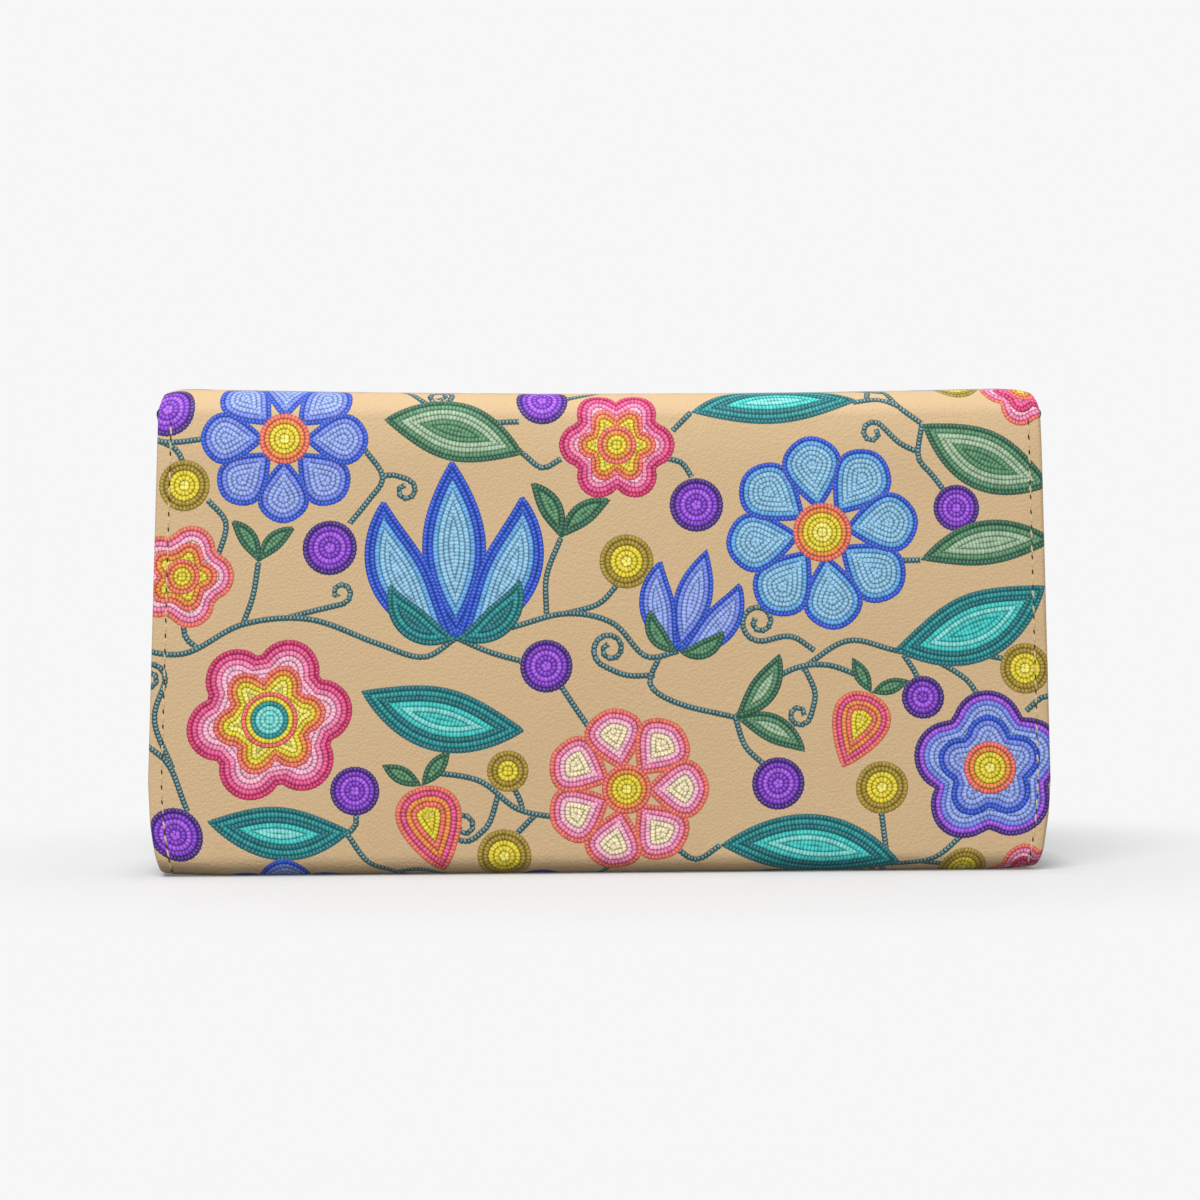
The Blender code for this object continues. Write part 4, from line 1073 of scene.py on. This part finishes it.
side_runs = np.linspace(PANEL_TOP_RUN + STITCH_INSET, BACK_TOP - SEAM_END_GAP, 60)
side_reach = half_width_at(side_runs) - STITCH_INSET
top_reach = side_reach[0] - TOP_SEAM_SETBACK
case_seams = [(np.stack([side * side_reach, side_runs], 1), 0.0) for side in (-1, 1)]
case_seams.append(([(-top_reach, side_runs[0]), (top_reach, side_runs[0])], 0.0))
flap_trim = (FLAP_END, 1, FLAP_CORNER_RADIUS)
flap_edge = edge_lines(FLAP_TOP + SEAM_END_GAP, flap_trim, RIM_RADIUS - STITCH_INSET)[0]
flap_seam = np.stack([to_flat(*flap_edge.T), flap_edge[:, 1]], 1)
flap_seams = [(flap_seam, 0.0), (flap_seam, LINING_DEPTH + LINING_THICKNESS)]
for body, seams in (("case", case_seams), ("flap", flap_seams)):
    stitches, slits = [], []
    for line, depth in seams:
        knots = evenly_spaced(line, STITCH_PITCH)
        for near, far in zip(knots, knots[1:]):
            way = turned(*(far - near) / np.linalg.norm(far - near), -STITCH_SLANT if depth else STITCH_SLANT)
            stitches.append(sheet_frame(*(near + far) / 2, way, depth))
            slits.append(sheet_frame(*far, way, depth))
    thread = copies_joined(stitch, "thread_" + body, stitches)
    marks = copies_joined(slit, "needle_slits_" + body, slits)
    for piece in (thread, marks):
        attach(piece, body)
for pattern in (stitch, slit):
    bpy.data.objects.remove(pattern, do_unlink=True)

# The lining: one length of thin black woven cloth behind the whole cover, a little narrower
# than it and sewn in with its edges. It is folded with the cover, so it is made in the same
# three lengths.
LINING_SIDE_MARGIN = 1.6
LINING_SETBACK = 1.0
LINING_PEEK = 2.05
PEEK_REACH = 6.5
PEEK_MIDDLE = BACK_TOP + 0.8
SEAM_WIDTH = 0.5
SEAM_PITCH = 2.6
SEAM_STITCH_SHARE = 0.78


def shaped_grid(name, columns, rows, place_at):
    """A flat grid whose points are laid on a form: place_at takes shares across and along.

    Its map "weave" holds the distances along the sheet itself, in millimetres.
    """
    bpy.ops.object.select_all(action="DESELECT")
    bpy.ops.mesh.primitive_grid_add(x_subdivisions=columns, y_subdivisions=rows, size=2)
    sheet = bpy.context.active_object
    sheet.name = sheet.data.name = name
    flat = np.zeros(len(sheet.data.vertices) * 3)
    sheet.data.vertices.foreach_get("co", flat)
    across, along, _ = flat.reshape(-1, 3).T
    places = np.stack(place_at(across, (along + 1) / 2), 1) * MM
    sheet.data.vertices.foreach_set("co", places.ravel())
    corners = np.zeros(len(sheet.data.loops), dtype=int)
    sheet.data.loops.foreach_get("vertex_index", corners)
    table = places.reshape(rows + 1, columns + 1, 3)
    steps_x, steps_y = [np.linalg.norm(np.diff(table, axis=axis), axis=2) for axis in (1, 0)]
    reach_x = np.pad(np.cumsum(steps_x, axis=1), ((0, 0), (1, 0)))
    reach_y = np.pad(np.cumsum(steps_y, axis=0), ((1, 0), (0, 0)))
    distances = np.stack([reach_x - reach_x[:, [columns // 2]], reach_y - reach_y[-1]], 2).reshape(-1, 2)
    weave = sheet.data.uv_layers.new(name="weave")
    weave.data.foreach_set("uv", (distances[corners] / MM).ravel())
    sheet.data.uv_layers.remove(sheet.data.uv_layers["UVMap"])
    return sheet


def modify(piece, kind, **settings):
    """Add a modifier with its settings and apply it."""
    bpy.context.view_layer.objects.active = piece
    modifier = piece.modifiers.new("form", kind)
    for key, value in settings.items():
        setattr(modifier, key, value)
    bpy.ops.object.modifier_apply(modifier=modifier.name)


def thicken(sheet, thickness, ease, offset=0.0):
    """Give a sheet its thickness, ease its sharp edges, and return its area before that."""
    area = sum(face.area for face in sheet.data.polygons)
    modify(sheet, "SOLIDIFY", thickness=thickness * MM, offset=offset)
    modify(sheet, "BEVEL", width=ease * MM, segments=2, limit_method="ANGLE", angle_limit=SHARP_ANGLE)
    sheet.data.shade_smooth()
    sheet.data.set_sharp_from_angle(angle=SHARP_ANGLE)
    return area


def weave_group():
    """A plain weave on the sheet's own distances: a height and the share of light threads."""
    tree, nodes, given, result = start_group(
        "plain_weave", [("Place", "Vector"), ("Threads", "Float", 1.6)],
        [("Height", "Float"), ("Shade", "Float")])
    calc = nodes.calc
    scaled = nodes.add("VectorMath", {0: given["Place"], "Scale": given["Threads"]}, operation="SCALE")
    x, y, _ = nodes.add("SeparateXYZ", {0: scaled}).outputs
    warp, weft = [calc("ABSOLUTE", calc("SINE", calc("MULTIPLY", part, math.pi))) for part in (x, y)]
    over = calc("MODULO", calc("ABSOLUTE", calc("ADD", calc("FLOOR", x), calc("FLOOR", y))), 2.0)
    height = calc("ADD", calc("MULTIPLY", warp, over), calc("MULTIPLY", weft, calc("SUBTRACT", 1.0, over)))
    nodes.feed(result["Height"], height)
    nodes.feed(result["Shade"], calc("MULTIPLY", height, nodes.noise(scaled, 3.0, 3.0)))
    return tree


plain_weave = weave_group()


def black_cloth(name, threads=1.6, dark="#09090A", light="#232326", roughness=0.62, seams=(), divided=False):
    """Black woven cloth, with threads to the millimetre and an uneven thicker thread here and there.

    Seams are the distances of sewn lines from the sheet's last edge, and a divided sheet is sewn
    down its middle.
    """
    material, nodes = start_material(name)
    calc = nodes.calc
    distances = nodes.add("UVMap", uv_map="weave")
    weave = nodes.add("Group", {"Threads": threads, "Place": distances}, node_tree=plain_weave).outputs
    slubs = nodes.noise(nodes.vector("MULTIPLY", distances, (0.06, 0.9, 1.0)), 1.0, 3.0)
    thick_threads = nodes.ramp(slubs, 0.5, 0.8, shape="LINEAR")
    colour = nodes.mix(thick_threads, nodes.mix(weave["Shade"], dark, light), "#2F2F33")
    height = weave["Height"]
    x, y, _ = nodes.add("SeparateXYZ", {0: distances}).outputs
    lines = [(y, x, seam) for seam in seams]
    if divided:
        lines.append((x, y, 0.0))
    for across, along, distance in lines:
        on_line = calc("LESS_THAN", calc("ABSOLUTE", calc("ADD", across, distance)), SEAM_WIDTH / 2)
        turn = calc("FRACT", calc("DIVIDE", along, SEAM_PITCH))
        sewn = calc("MULTIPLY", on_line, calc("LESS_THAN", turn, SEAM_STITCH_SHARE))
        colour = nodes.mix(sewn, colour, "#47474A")
        height = calc("ADD", height, calc("MULTIPLY", sewn, 3.0))
    nodes.dress({
        "Base Color": colour,
        "Normal": nodes.bump(height, 0.6, 0.0001),
        "Roughness": calc("MULTIPLY_ADD", weave["Shade"], 0.15, roughness),
        "Sheen Weight": 0.12,
        "Specular IOR Level": 0.3,
    })
    return material


lining_cloth = black_cloth("lining_cloth")


def lining_length(name, start, end, corner=0):
    """One length of lining behind the cover, with round corners at the flap's end."""
    runs = np.array(fold_lines(start, end))
    if corner:
        last = np.linspace(end - corner, end, 14)
        runs = np.concatenate([runs[runs < last[0] - 0.5], last])

    def place_at(across, along):
        run = np.interp(along, np.linspace(0, 1, len(runs)), runs)
        half = half_width_at(run) - LINING_SIDE_MARGIN
        half = half + LINING_PEEK * np.clip(1 - ((run - PEEK_MIDDLE) / PEEK_REACH) ** 2, 0, 1) ** 2
        if corner:
            into = np.clip((run - end + corner) / corner, 0, 0.995)
            half = half - corner * (1 - np.sqrt(1 - into ** 2))
        y, z = folded(run, LINING_DEPTH)
        return settled(across * half, y, z)

    sheet = shaped_grid(name, 28, len(runs) - 1, place_at)
    area = thicken(sheet, LINING_THICKNESS, 0.15, offset=-1.0)
    sheet.data.materials.append(lining_cloth)
    width, length = 2 * (float(half_width_at(start)) - LINING_SIDE_MARGIN) * MM, (end - start) * MM
    max(width, area / length)
    return sheet


lining_flap_end = FLAP_END - LINING_SIDE_MARGIN
hang_lengths(
    "lining",
    lining_length("lining_back", PANEL_SPLIT_RUN, SPINE_MIDDLE),
    lining_length("lining_front_panel", PANEL_TOP_RUN + LINING_SETBACK, PANEL_SPLIT_RUN),
    lining_length("lining_flap", SPINE_MIDDLE, lining_flap_end, FLAP_CORNER_RADIUS - LINING_SIDE_MARGIN),
)

# The gussets: a strip of thin black coated cloth at each side, pleated twice inward and sewn by
# its outer edges to the front panel and to the card panels, so that the case can open.
GUSSET_THICKNESS = 0.7
GUSSET_FLANGE = 5.0
GUSSET_PLEAT_DEPTH = 11.5
GUSSET_INSET = 1.2
GUSSET_GIVE = 0.35
GUSSET_DIP = 0.8
PLEAT_GAP = 0.3
PLEAT_MIDDLE = 1.3


def eased_line(points, rounds):
    """A line with its corners cut again and again, so that its folds are soft."""
    line = np.asarray(points, float)
    for _ in range(rounds):
        near = line[:-1] * 0.75 + line[1:] * 0.25
        far = line[:-1] * 0.25 + line[1:] * 0.75
        line = np.vstack([line[:1], np.stack([near, far], 1).reshape(-1, 2), line[-1:]])
    return line


def line_at(line, share):
    """Both measures of a line's points, at shares of the way along its list."""
    return [np.interp(share * (len(line) - 1), np.arange(len(line)), measure) for measure in line.T]


def back_half_width(z):
    """Half the cover's width at a height on its back."""
    return half_width_at(BACK_FOOT + np.clip(z - BASE_FOLD_RADIUS, 0, None))


def stand_in(piece, node, material, body="case"):
    """Let a piece show one CAD node, and move with that node's body."""
    piece.data.materials.append(material)
    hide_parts(node)
    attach(piece, body)


coated_black, nodes = start_material("black_coated_cloth")
grain = nodes.add("Group", {"Cell Size": 0.5, "Unevenness": 0.8}, node_tree=pebble_grain).outputs
nodes.dress({
    "Base Color": nodes.mix(grain["Shade"], "#0B0B0C", "#252527"),
    "Roughness": nodes.calc("MULTIPLY_ADD", grain["Shade"], 0.15, 0.48),
    "Normal": nodes.bump(grain["Height"], 0.5, 0.00012),
})
pocket_low, pocket_high = box_mm("coin_pocket")
pocket_y = (pocket_low.y + pocket_high.y) / 2
for name, side in (("gusset_left", -1), ("gusset_right", 1)):
    low, high = box_mm(name)
    outer = max(abs(low.x), abs(high.x))
    half = GUSSET_THICKNESS / 2
    front_y, rear_y = high.y - half, low.y + half
    pleat = (pocket_high.y - pocket_low.y) / 2 + PLEAT_GAP + half
    flange_x, tip_x, middle_x = outer - GUSSET_FLANGE, outer - GUSSET_PLEAT_DEPTH, outer - PLEAT_MIDDLE
    section = evenly_spaced(eased_line([
        (outer, front_y), (flange_x, front_y), (flange_x - 0.8, front_y - 0.2),
        (tip_x, pocket_y + pleat + 0.35), (tip_x, pocket_y + pleat - 0.1),
        (middle_x, pocket_y + 0.3), (middle_x, pocket_y - 0.3),
        (tip_x, pocket_y - pleat + 0.1), (tip_x, pocket_y - pleat - 0.35),
        (flange_x - 0.8, rear_y + 0.2), (flange_x, rear_y), (outer, rear_y),
    ], 3), 0.55)

    def place_at(across, along):
        share = (across + 1) / 2
        x, y = line_at(section, share)
        z = low.z + along * (high.z - low.z)
        inward = np.clip((outer - x) / GUSSET_PLEAT_DEPTH, 0, 1)
        give = GUSSET_GIVE * np.sin(2.3 * math.pi * along + side) * np.sin(math.pi * share)
        dip = GUSSET_DIP * inward * along ** 6
        narrow = np.maximum(0, x - back_half_width(z) + GUSSET_INSET)
        return side * (x - give * inward - narrow), y, z - dip

    gusset = shaped_grid(name + "_cloth", len(section) - 1, 16, place_at)
    gusset.data.flip_normals()
    area = thicken(gusset, GUSSET_THICKNESS, 0.12)
    if side < 0:
        gusset.data.flip_normals()
    stand_in(gusset, name, coated_black)

# The card slots: four sheets of lining cloth in steps against the back, each one's top edge
# turned forward and sewn down, with one sewn line down the middle that parts the two columns.
CARD_HEM = 5.0
CARD_HEM_SETBACK = 1.6
CARD_SIDE_MARGIN = 2.2
HEM_FOLD_RADIUS = 0.25
HEM_START = 20
WAVE, WAVE_LENGTH = 0.16, 23.0


def soft_wave(x, z):
    """The slow unevenness that all the sheets inside share, so that none of them cross."""
    rise = np.sin(math.pi * np.clip(z / HEIGHT, 0, 1))
    return WAVE * np.sin(x / WAVE_LENGTH + 0.7) * rise


card_cloth = black_cloth("card_slot_cloth", seams=(1.0,), divided=True)
for number in range(1, 5):
    low, high = box_mm(f"card_panel_{number}")
    thickness = high.y - low.y
    middle_y = (low.y + high.y) / 2
    crown = high.z - HEM_FOLD_RADIUS - thickness / 2
    line = [(middle_y, z) for z in np.linspace(low.z, crown, 16)]
    for angle in np.linspace(math.pi, 0, 6)[1:]:
        line.append((middle_y + HEM_FOLD_RADIUS * (1 + math.cos(angle)),
                     crown + HEM_FOLD_RADIUS * math.sin(angle)))
    line += [(line[-1][0], z) for z in np.linspace(crown, crown - CARD_HEM, 5)[1:]]
    line = np.array(line)

    def place_at(across, along):
        y, z = line_at(line, along)
        on_hem = along * (len(line) - 1) > HEM_START
        x = across * (back_half_width(z) - CARD_SIDE_MARGIN - np.where(on_hem, CARD_HEM_SETBACK, 0.0))
        return x, y + soft_wave(x, z), z

    panel = shaped_grid(f"card_sheet_{number}", 26, len(line) - 1, place_at)
    area = thicken(panel, thickness, 0.1)
    stand_in(panel, f"card_panel_{number}", card_cloth)
    width = 2 * (HALF_WIDTH - CARD_SIDE_MARGIN) * MM

# The coin pocket: one sheet of lining cloth folded at its foot, standing midway in the case. The
# zip's tapes are sewn inside its two top edges, and its sides are held by the gussets' pleats.
POCKET_WALL = 0.6
POCKET_BILLOW = 0.28
POCKET_RADIUS = 2.0
POCKET_SEAM = 2.0
PUCKER, PUCKER_LENGTH, PUCKER_REACH = 0.05, 1.9, 9
WAVE_REACH = 12
pocket_half = (pocket_high.y - pocket_low.y - POCKET_WALL) / 2
pocket_floor = pocket_low.z + POCKET_WALL / 2
pocket_line = [(pocket_half, z) for z in np.linspace(pocket_high.z, pocket_floor + POCKET_RADIUS, 22)[:-1]]
for angle in np.linspace(0, math.pi / 2, 7):
    pocket_line.append((pocket_half - POCKET_RADIUS * (1 - math.cos(angle)),
                        pocket_floor + POCKET_RADIUS * (1 - math.sin(angle))))
pocket_line = np.array(pocket_line + [(-y, z) for y, z in reversed(pocket_line)])


def pocket_place(across, along):
    y, z = line_at(pocket_line, along)
    x = across * pocket_high.x
    below = pocket_high.z - z
    rise = np.clip((z - pocket_floor) / (pocket_high.z - pocket_floor), 0, 1)
    swell = POCKET_BILLOW * np.sign(y) * (1 - across ** 2) * np.sin(math.pi * rise)
    pucker = PUCKER * np.sin(x / PUCKER_LENGTH) * np.clip(1 - below / PUCKER_REACH, 0, 1)
    wave = soft_wave(x, z) * np.clip(below / WAVE_REACH, 0, 1)
    return x, pocket_y + y + swell + pucker + wave, z


pocket_length = float(np.linalg.norm(np.diff(pocket_line, axis=0), axis=1).sum())
pocket_cloth = black_cloth("pocket_cloth", seams=(POCKET_SEAM, pocket_length - POCKET_SEAM))
pocket = shaped_grid("coin_pocket_cloth", 40, len(pocket_line) - 1, pocket_place)
area = thicken(pocket, POCKET_WALL, 0.15)
stand_in(pocket, "coin_pocket", pocket_cloth)
width = 2 * pocket_high.x * MM

# The zip: two woven tapes with a nylon coil wound along the top edge of each, the turns of one
# lying between those of the other, and a small metal clamp over both at each end.
COIL_PITCH = 1.1
COIL_WIRE = 0.52
COIL_MESH_REACH = 0.45
TAPE_INTO_COIL = 0.35
POINTS_PER_TURN = 12
SWAY, SWAY_LENGTH, SWAY_REACH = 0.04, 3.1, 11
tape_cloth = black_cloth("zip_tape_cloth", 2.2, "#0A0A0C", "#26262A", 0.7, seams=(2.4, 9.2))
coil_nylon, nodes = start_material("zip_coil_nylon")
dust = nodes.noise(nodes.object_place(), 700.0, 3.0)
nodes.dress({
    "Base Color": nodes.mix(dust, "#0B0B0C", "#1F1F21"),
    "Roughness": nodes.calc("MULTIPLY_ADD", dust, 0.2, 0.25),
})


def squared(value):
    """A sine or cosine drawn out towards a square's corners."""
    return np.sign(value) * np.abs(value) ** 0.7


for word, side in (("rear", -1), ("front", 1)):
    low, high = box_mm("zip_tape_" + word)
    coil_low, coil_high = box_mm("zip_coil_" + word)

    def tape_place(across, along):
        x = across * high.x
        z = low.z + along * (coil_low.z + TAPE_INTO_COIL - low.z)
        sway = SWAY * np.sin(x / SWAY_LENGTH + side) * np.clip((high.z - z) / SWAY_REACH, 0, 1)
        return x, (low.y + high.y) / 2 + sway, z

    tape = shaped_grid(f"zip_tape_{word}_cloth", 60, 10, tape_place)
    area = thicken(tape, high.y - low.y, 0.08)
    stand_in(tape, "zip_tape_" + word, tape_cloth)
    width = 2 * high.x * MM

    near_y = coil_low.y - COIL_MESH_REACH if side > 0 else coil_high.y + COIL_MESH_REACH
    far_y = coil_high.y if side > 0 else coil_low.y
    half_y = abs(far_y - near_y) / 2 - COIL_WIRE / 2
    half_z = (coil_high.z - coil_low.z) / 2 - COIL_WIRE / 2
    turns = int((coil_high.x - coil_low.x - COIL_WIRE) / COIL_PITCH) - 1
    angles = np.linspace(0, 2 * math.pi * turns, turns * POINTS_PER_TURN + 1)
    start_x = -turns * COIL_PITCH / 2 + (COIL_PITCH / 2 if side > 0 else 0)
    coil_points = np.stack([
        start_x + angles / (2 * math.pi) * COIL_PITCH,
        (near_y + far_y) / 2 + side * half_y * squared(np.cos(angles)),
        (coil_low.z + coil_high.z) / 2 + half_z * squared(np.sin(angles)),
    ], 1) * MM
    curve = bpy.data.curves.new(f"zip_coil_{word}_turns", "CURVE")
    curve.dimensions = "3D"
    curve.bevel_depth = COIL_WIRE / 2 * MM
    curve.bevel_resolution = 1
    curve.use_fill_caps = True
    strand = curve.splines.new("POLY")
    strand.points.add(len(coil_points) - 1)
    strand.points.foreach_set("co", np.column_stack([coil_points, np.ones(len(coil_points))]).ravel())
    coil = new_piece(f"zip_coil_{word}_turns", curve)
    bpy.ops.object.convert(target="MESH")
    coil.data.shade_smooth()
    stand_in(coil, "zip_coil_" + word, coil_nylon)

# The metal parts: the zip's end clamps, slider and pull are cast and tumbled, so that every edge
# is soft, and then nickel plated.


def nickel_material(name, roughness, spun_about=None, groove=0.0):
    """Plated metal with fine wear: rougher patches and hairline scratches.

    A spun piece has turning marks round a point in metres, and painted shade in the groove at that radius.
    """
    material, nodes = start_material(name)
    place = nodes.object_place()
    patches = nodes.noise(place, 420.0, 4.0)
    hairlines = nodes.noise(nodes.add("Mapping", {"Vector": place, "Scale": (300.0, 4000.0, 4000.0)}), 1.0)
    colour = nodes.mix(patches, (0.44, 0.42, 0.39, 1.0), (0.60, 0.58, 0.55, 1.0))
    if spun_about:
        away = nodes.vector("MULTIPLY", nodes.vector("SUBTRACT", place, spun_about), (1.0, 0.0, 1.0))
        radius = nodes.add("VectorMath", {0: away}, operation="LENGTH").outputs["Value"]
        marks = nodes.add("TexNoise", {"W": radius, "Scale": 2200.0, "Detail": 2.0}, noise_dimensions="1D")
        colour = nodes.mix(nodes.calc("MULTIPLY", marks, 0.55), colour, (0.20, 0.19, 0.18, 1.0))
        # Painted shade: the colour darkens in a ring at the groove's radius, as the recess would be in
        # shadow.
        off = nodes.calc("ABSOLUTE", nodes.calc("SUBTRACT", radius, groove * MM))
        groove_shade = nodes.ramp(off, 0.0007, 0.0002, 0.7, shape="LINEAR")
        colour = nodes.mix(groove_shade, colour, (0.10, 0.095, 0.09, 1.0))
    nodes.dress({
        "Base Color": colour,
        "Metallic": 1.0,
        "Roughness": nodes.calc("MULTIPLY_ADD", patches, 0.16, roughness),
        "Normal": nodes.bump(hairlines, 0.25, 0.00003),
    })
    return material


nickel = nickel_material("nickel_plate", 0.2)
for node, body, width in (("zip_stop_left", "case", 0.3), ("zip_stop_right", "case", 0.3),
                          ("zip_slider", "slider", 0.16), ("zip_pull", "pull", 0.2)):
    piece = new_piece(node + "_cast", bpy.data.objects[node].data.copy())
    piece.data.name = piece.name
    piece.data.materials.clear()
    edit_mesh(piece, (bpy.ops.mesh.remove_doubles, dict(threshold=0.00002)),
              (bpy.ops.mesh.dissolve_limited, dict(angle_limit=math.radians(2))))
    modify(piece, "BEVEL", width=width * MM, segments=3, limit_method="ANGLE",
           angle_limit=math.radians(25), harden_normals=True)
    piece.data.shade_smooth()
    piece.data.set_sharp_from_angle(angle=math.radians(60))
    stand_in(piece, node, nickel, body)

# The snap: a pressed stud riveted through the front panel, and a spun socket set in the flap's
# lining, both of thin plated sheet with rolled edges.
SNAP_POINTS = 48
STUD_ROUNDING = 0.3
SOCKET_ROUNDING = 0.22
SOCKET_BORE = 3.3
STUD_HEIGHT = 1.7


def spun_about_y(name, profile, centre_z):
    """Spin a profile of (radius, y) once round the snap's own line."""
    mesh = bpy.data.meshes.new(name)
    points = [(radius * MM, y * MM, centre_z) for radius, y in profile]
    mesh.from_pydata(points, [(step, step + 1) for step in range(len(points) - 1)], [])
    piece = new_piece(name, mesh)
    whole_turn = dict(steps=SNAP_POINTS, angle=2 * math.pi, center=(0, 0, centre_z), axis=(0, 1, 0))
    edit_mesh(piece, (bpy.ops.mesh.spin, whole_turn), (bpy.ops.mesh.remove_doubles, dict(threshold=0.000005)),
              (bpy.ops.mesh.normals_make_consistent, dict(inside=False)))
    bpy.ops.object.shade_smooth_by_angle(angle=math.radians(35))
    return piece


def rounded_profile(points, radius, steps=4):
    """A profile with each inner corner eased by an arc-like curve."""
    eased = [points[0]]
    for before, corner, after in zip(points, points[1:], points[2:]):
        before, corner, after = map(np.array, (before, corner, after))
        near = min(radius, 0.45 * np.linalg.norm(before - corner))
        far = min(radius, 0.45 * np.linalg.norm(after - corner))
        start = corner + (before - corner) / np.linalg.norm(before - corner) * near
        end = corner + (after - corner) / np.linalg.norm(after - corner) * far
        for share in np.linspace(0, 1, steps + 1):
            point = (1 - share) ** 2 * start + 2 * share * (1 - share) * corner + share ** 2 * end
            eased.append(tuple(point))
    return eased + [points[-1]]


low, high = box_mm("snap_stud")
snap_z = (low.z + high.z) / 2 * MM
face = high.y - STUD_HEIGHT
stud_profile = rounded_profile([
    (0, low.y), (1.5, low.y), (1.5, face - 0.6), (6.5, face - 0.6), (6.5, face), (4.6, face),
    (3.4, face - 0.2), (2.1, face), (2.5, face + 0.85), (2.5, high.y - 0.1), (2.0, high.y), (1.0, high.y),
    (0.6, high.y - 0.25), (0, high.y - 0.25),
], STUD_ROUNDING)
low, high = box_mm("snap_socket")
socket_profile = rounded_profile([
    (0, high.y), (6.5, high.y), (6.5, low.y + 0.25), (7.4, low.y + 0.25), (7.4, low.y + 0.08), (7.1, low.y),
    (5.7, low.y), (5.3, low.y + 0.28), (4.9, low.y + 0.28), (4.5, low.y), (3.7, low.y),
    (SOCKET_BORE, low.y + 0.3), (SOCKET_BORE, high.y - 0.4), (0, high.y - 0.4),
], SOCKET_ROUNDING)
for node, profile, body, groove in (
    ("snap_stud", stud_profile, "case", 2.9), ("snap_socket", socket_profile, "flap", 5.1),
):
    metal = nickel_material(node + "_nickel", 0.22, (0.0, 0.0, snap_z), groove)
    stand_in(spun_about_y(node + "_pressed", profile, snap_z), node, metal, body)

# The stand: a plain pale floor that fades into a pale backdrop, soft light from a white sky and
# two large lamps, and the camera as the photograph has it, low and a little to the left.
BACKDROP = 0.93
FLOOR_SHADE = 0.7
BOUNCE = 0.16
SKY_STRENGTH = 0.62


def backdrop_rays(nodes):
    """The rays that see the backdrop as it is shown: the camera's, and those of gloss and glass."""
    path = nodes.add("LightPath").outputs
    shown = nodes.calc("MAXIMUM", path["Is Camera Ray"], path["Is Glossy Ray"])
    return nodes.calc("MAXIMUM", shown, path["Is Transmission Ray"])


bpy.ops.mesh.primitive_grid_add(x_subdivisions=8, y_subdivisions=8, size=3.0, location=(0.0, 0.0, 0.0))
studio_floor = bpy.context.active_object
studio_floor.name = studio_floor.data.name = "studio_floor"
studio_floor.data.transform(Matrix.Translation((0.0, 0.0, -0.00002)))
bounced, floor_shown = (BOUNCE, BOUNCE, BOUNCE, 1.0), (FLOOR_SHADE, FLOOR_SHADE, FLOOR_SHADE, 1.0)
floor_material, nodes = start_material("studio_floor")
calc = nodes.calc
place = nodes.object_place()
spread = nodes.vector("MULTIPLY", place, (1.0, 1.6, 1.0))
reach = nodes.add("VectorMath", {0: spread}, operation="LENGTH").outputs["Value"]
x, y, _ = nodes.add("SeparateXYZ", {0: place}).outputs
beyond = calc("MAXIMUM", calc("SUBTRACT", calc("ABSOLUTE", x), HALF_WIDTH * MM),
              calc("SUBTRACT", calc("ABSOLUTE", y), flap_high.y * MM))
shown = calc("MAXIMUM", nodes.ramp(reach, 0.2, 0.11, 0.6), nodes.ramp(beyond, 0.022, 0.0, 0.86))
seen = backdrop_rays(nodes)
nodes.dress({
    "Alpha": calc("MAXIMUM", shown, calc("SUBTRACT", 1.0, seen)),
    "Base Color": nodes.mix(seen, bounced, floor_shown),
    "Roughness": 0.9,
    "Specular IOR Level": 0.1,
})
studio_floor.data.materials.append(floor_material)

world = bpy.data.worlds.new("studio_sky")
bpy.context.scene.world = world
world.use_nodes = True
nodes = Nodes(world.node_tree)
sky = world.node_tree.nodes["Background"]
sky.inputs["Color"].default_value = (1.0, 1.0, 1.0, 1.0)
sky.inputs["Strength"].default_value = SKY_STRENGTH
backdrop = nodes.add("Background", {"Color": (BACKDROP, BACKDROP, BACKDROP, 1.0), "Strength": 1.0})
choice = nodes.add("MixShader", {0: backdrop_rays(nodes), 1: sky, 2: backdrop})
nodes.feed(world.node_tree.nodes["World Output"].inputs["Surface"], choice)


def face_towards(piece, place, aim):
    """Stand a lamp or camera at a place, and turn it to face a point."""
    piece.location = place
    piece.rotation_euler = (Vector(aim) - Vector(place)).to_track_quat("-Z", "Y").to_euler()


LAMP_AIM = (0.0, 0.0, 0.05)
for name, place, size, power in (
    ("key_lamp", (-0.40, -1.02, 1.22), (1.0, 0.7), 23.5),
    ("top_lamp", (0.1, 0.3, 1.6), (1.4, 1.0), 0.7),
):
    light = bpy.data.lights.new(name, "AREA")
    light.shape = "RECTANGLE"
    light.size, light.size_y = size
    light.energy = power
    face_towards(new_piece(name, light), place, LAMP_AIM)

CAMERA_DISTANCE = 0.900
CAMERA_YAW = math.radians(4.0)
CAMERA_PITCH = math.radians(3.3)
CAMERA_AIM = (-0.0006, -0.0134, 0.0578)
CAMERA_LENS, CAMERA_SENSOR = 129.0, 36.0
camera_data = bpy.data.cameras.new("camera")
camera_data.lens = CAMERA_LENS
camera_data.sensor_width = CAMERA_SENSOR
camera = new_piece("camera", camera_data)
reach = CAMERA_DISTANCE * math.cos(CAMERA_PITCH)
face_towards(camera, (
    CAMERA_AIM[0] - reach * math.sin(CAMERA_YAW),
    CAMERA_AIM[1] - reach * math.cos(CAMERA_YAW),
    CAMERA_AIM[2] + CAMERA_DISTANCE * math.sin(CAMERA_PITCH),
), CAMERA_AIM)
bpy.context.scene.camera = camera
bpy.context.scene.view_settings.view_transform = "Standard"
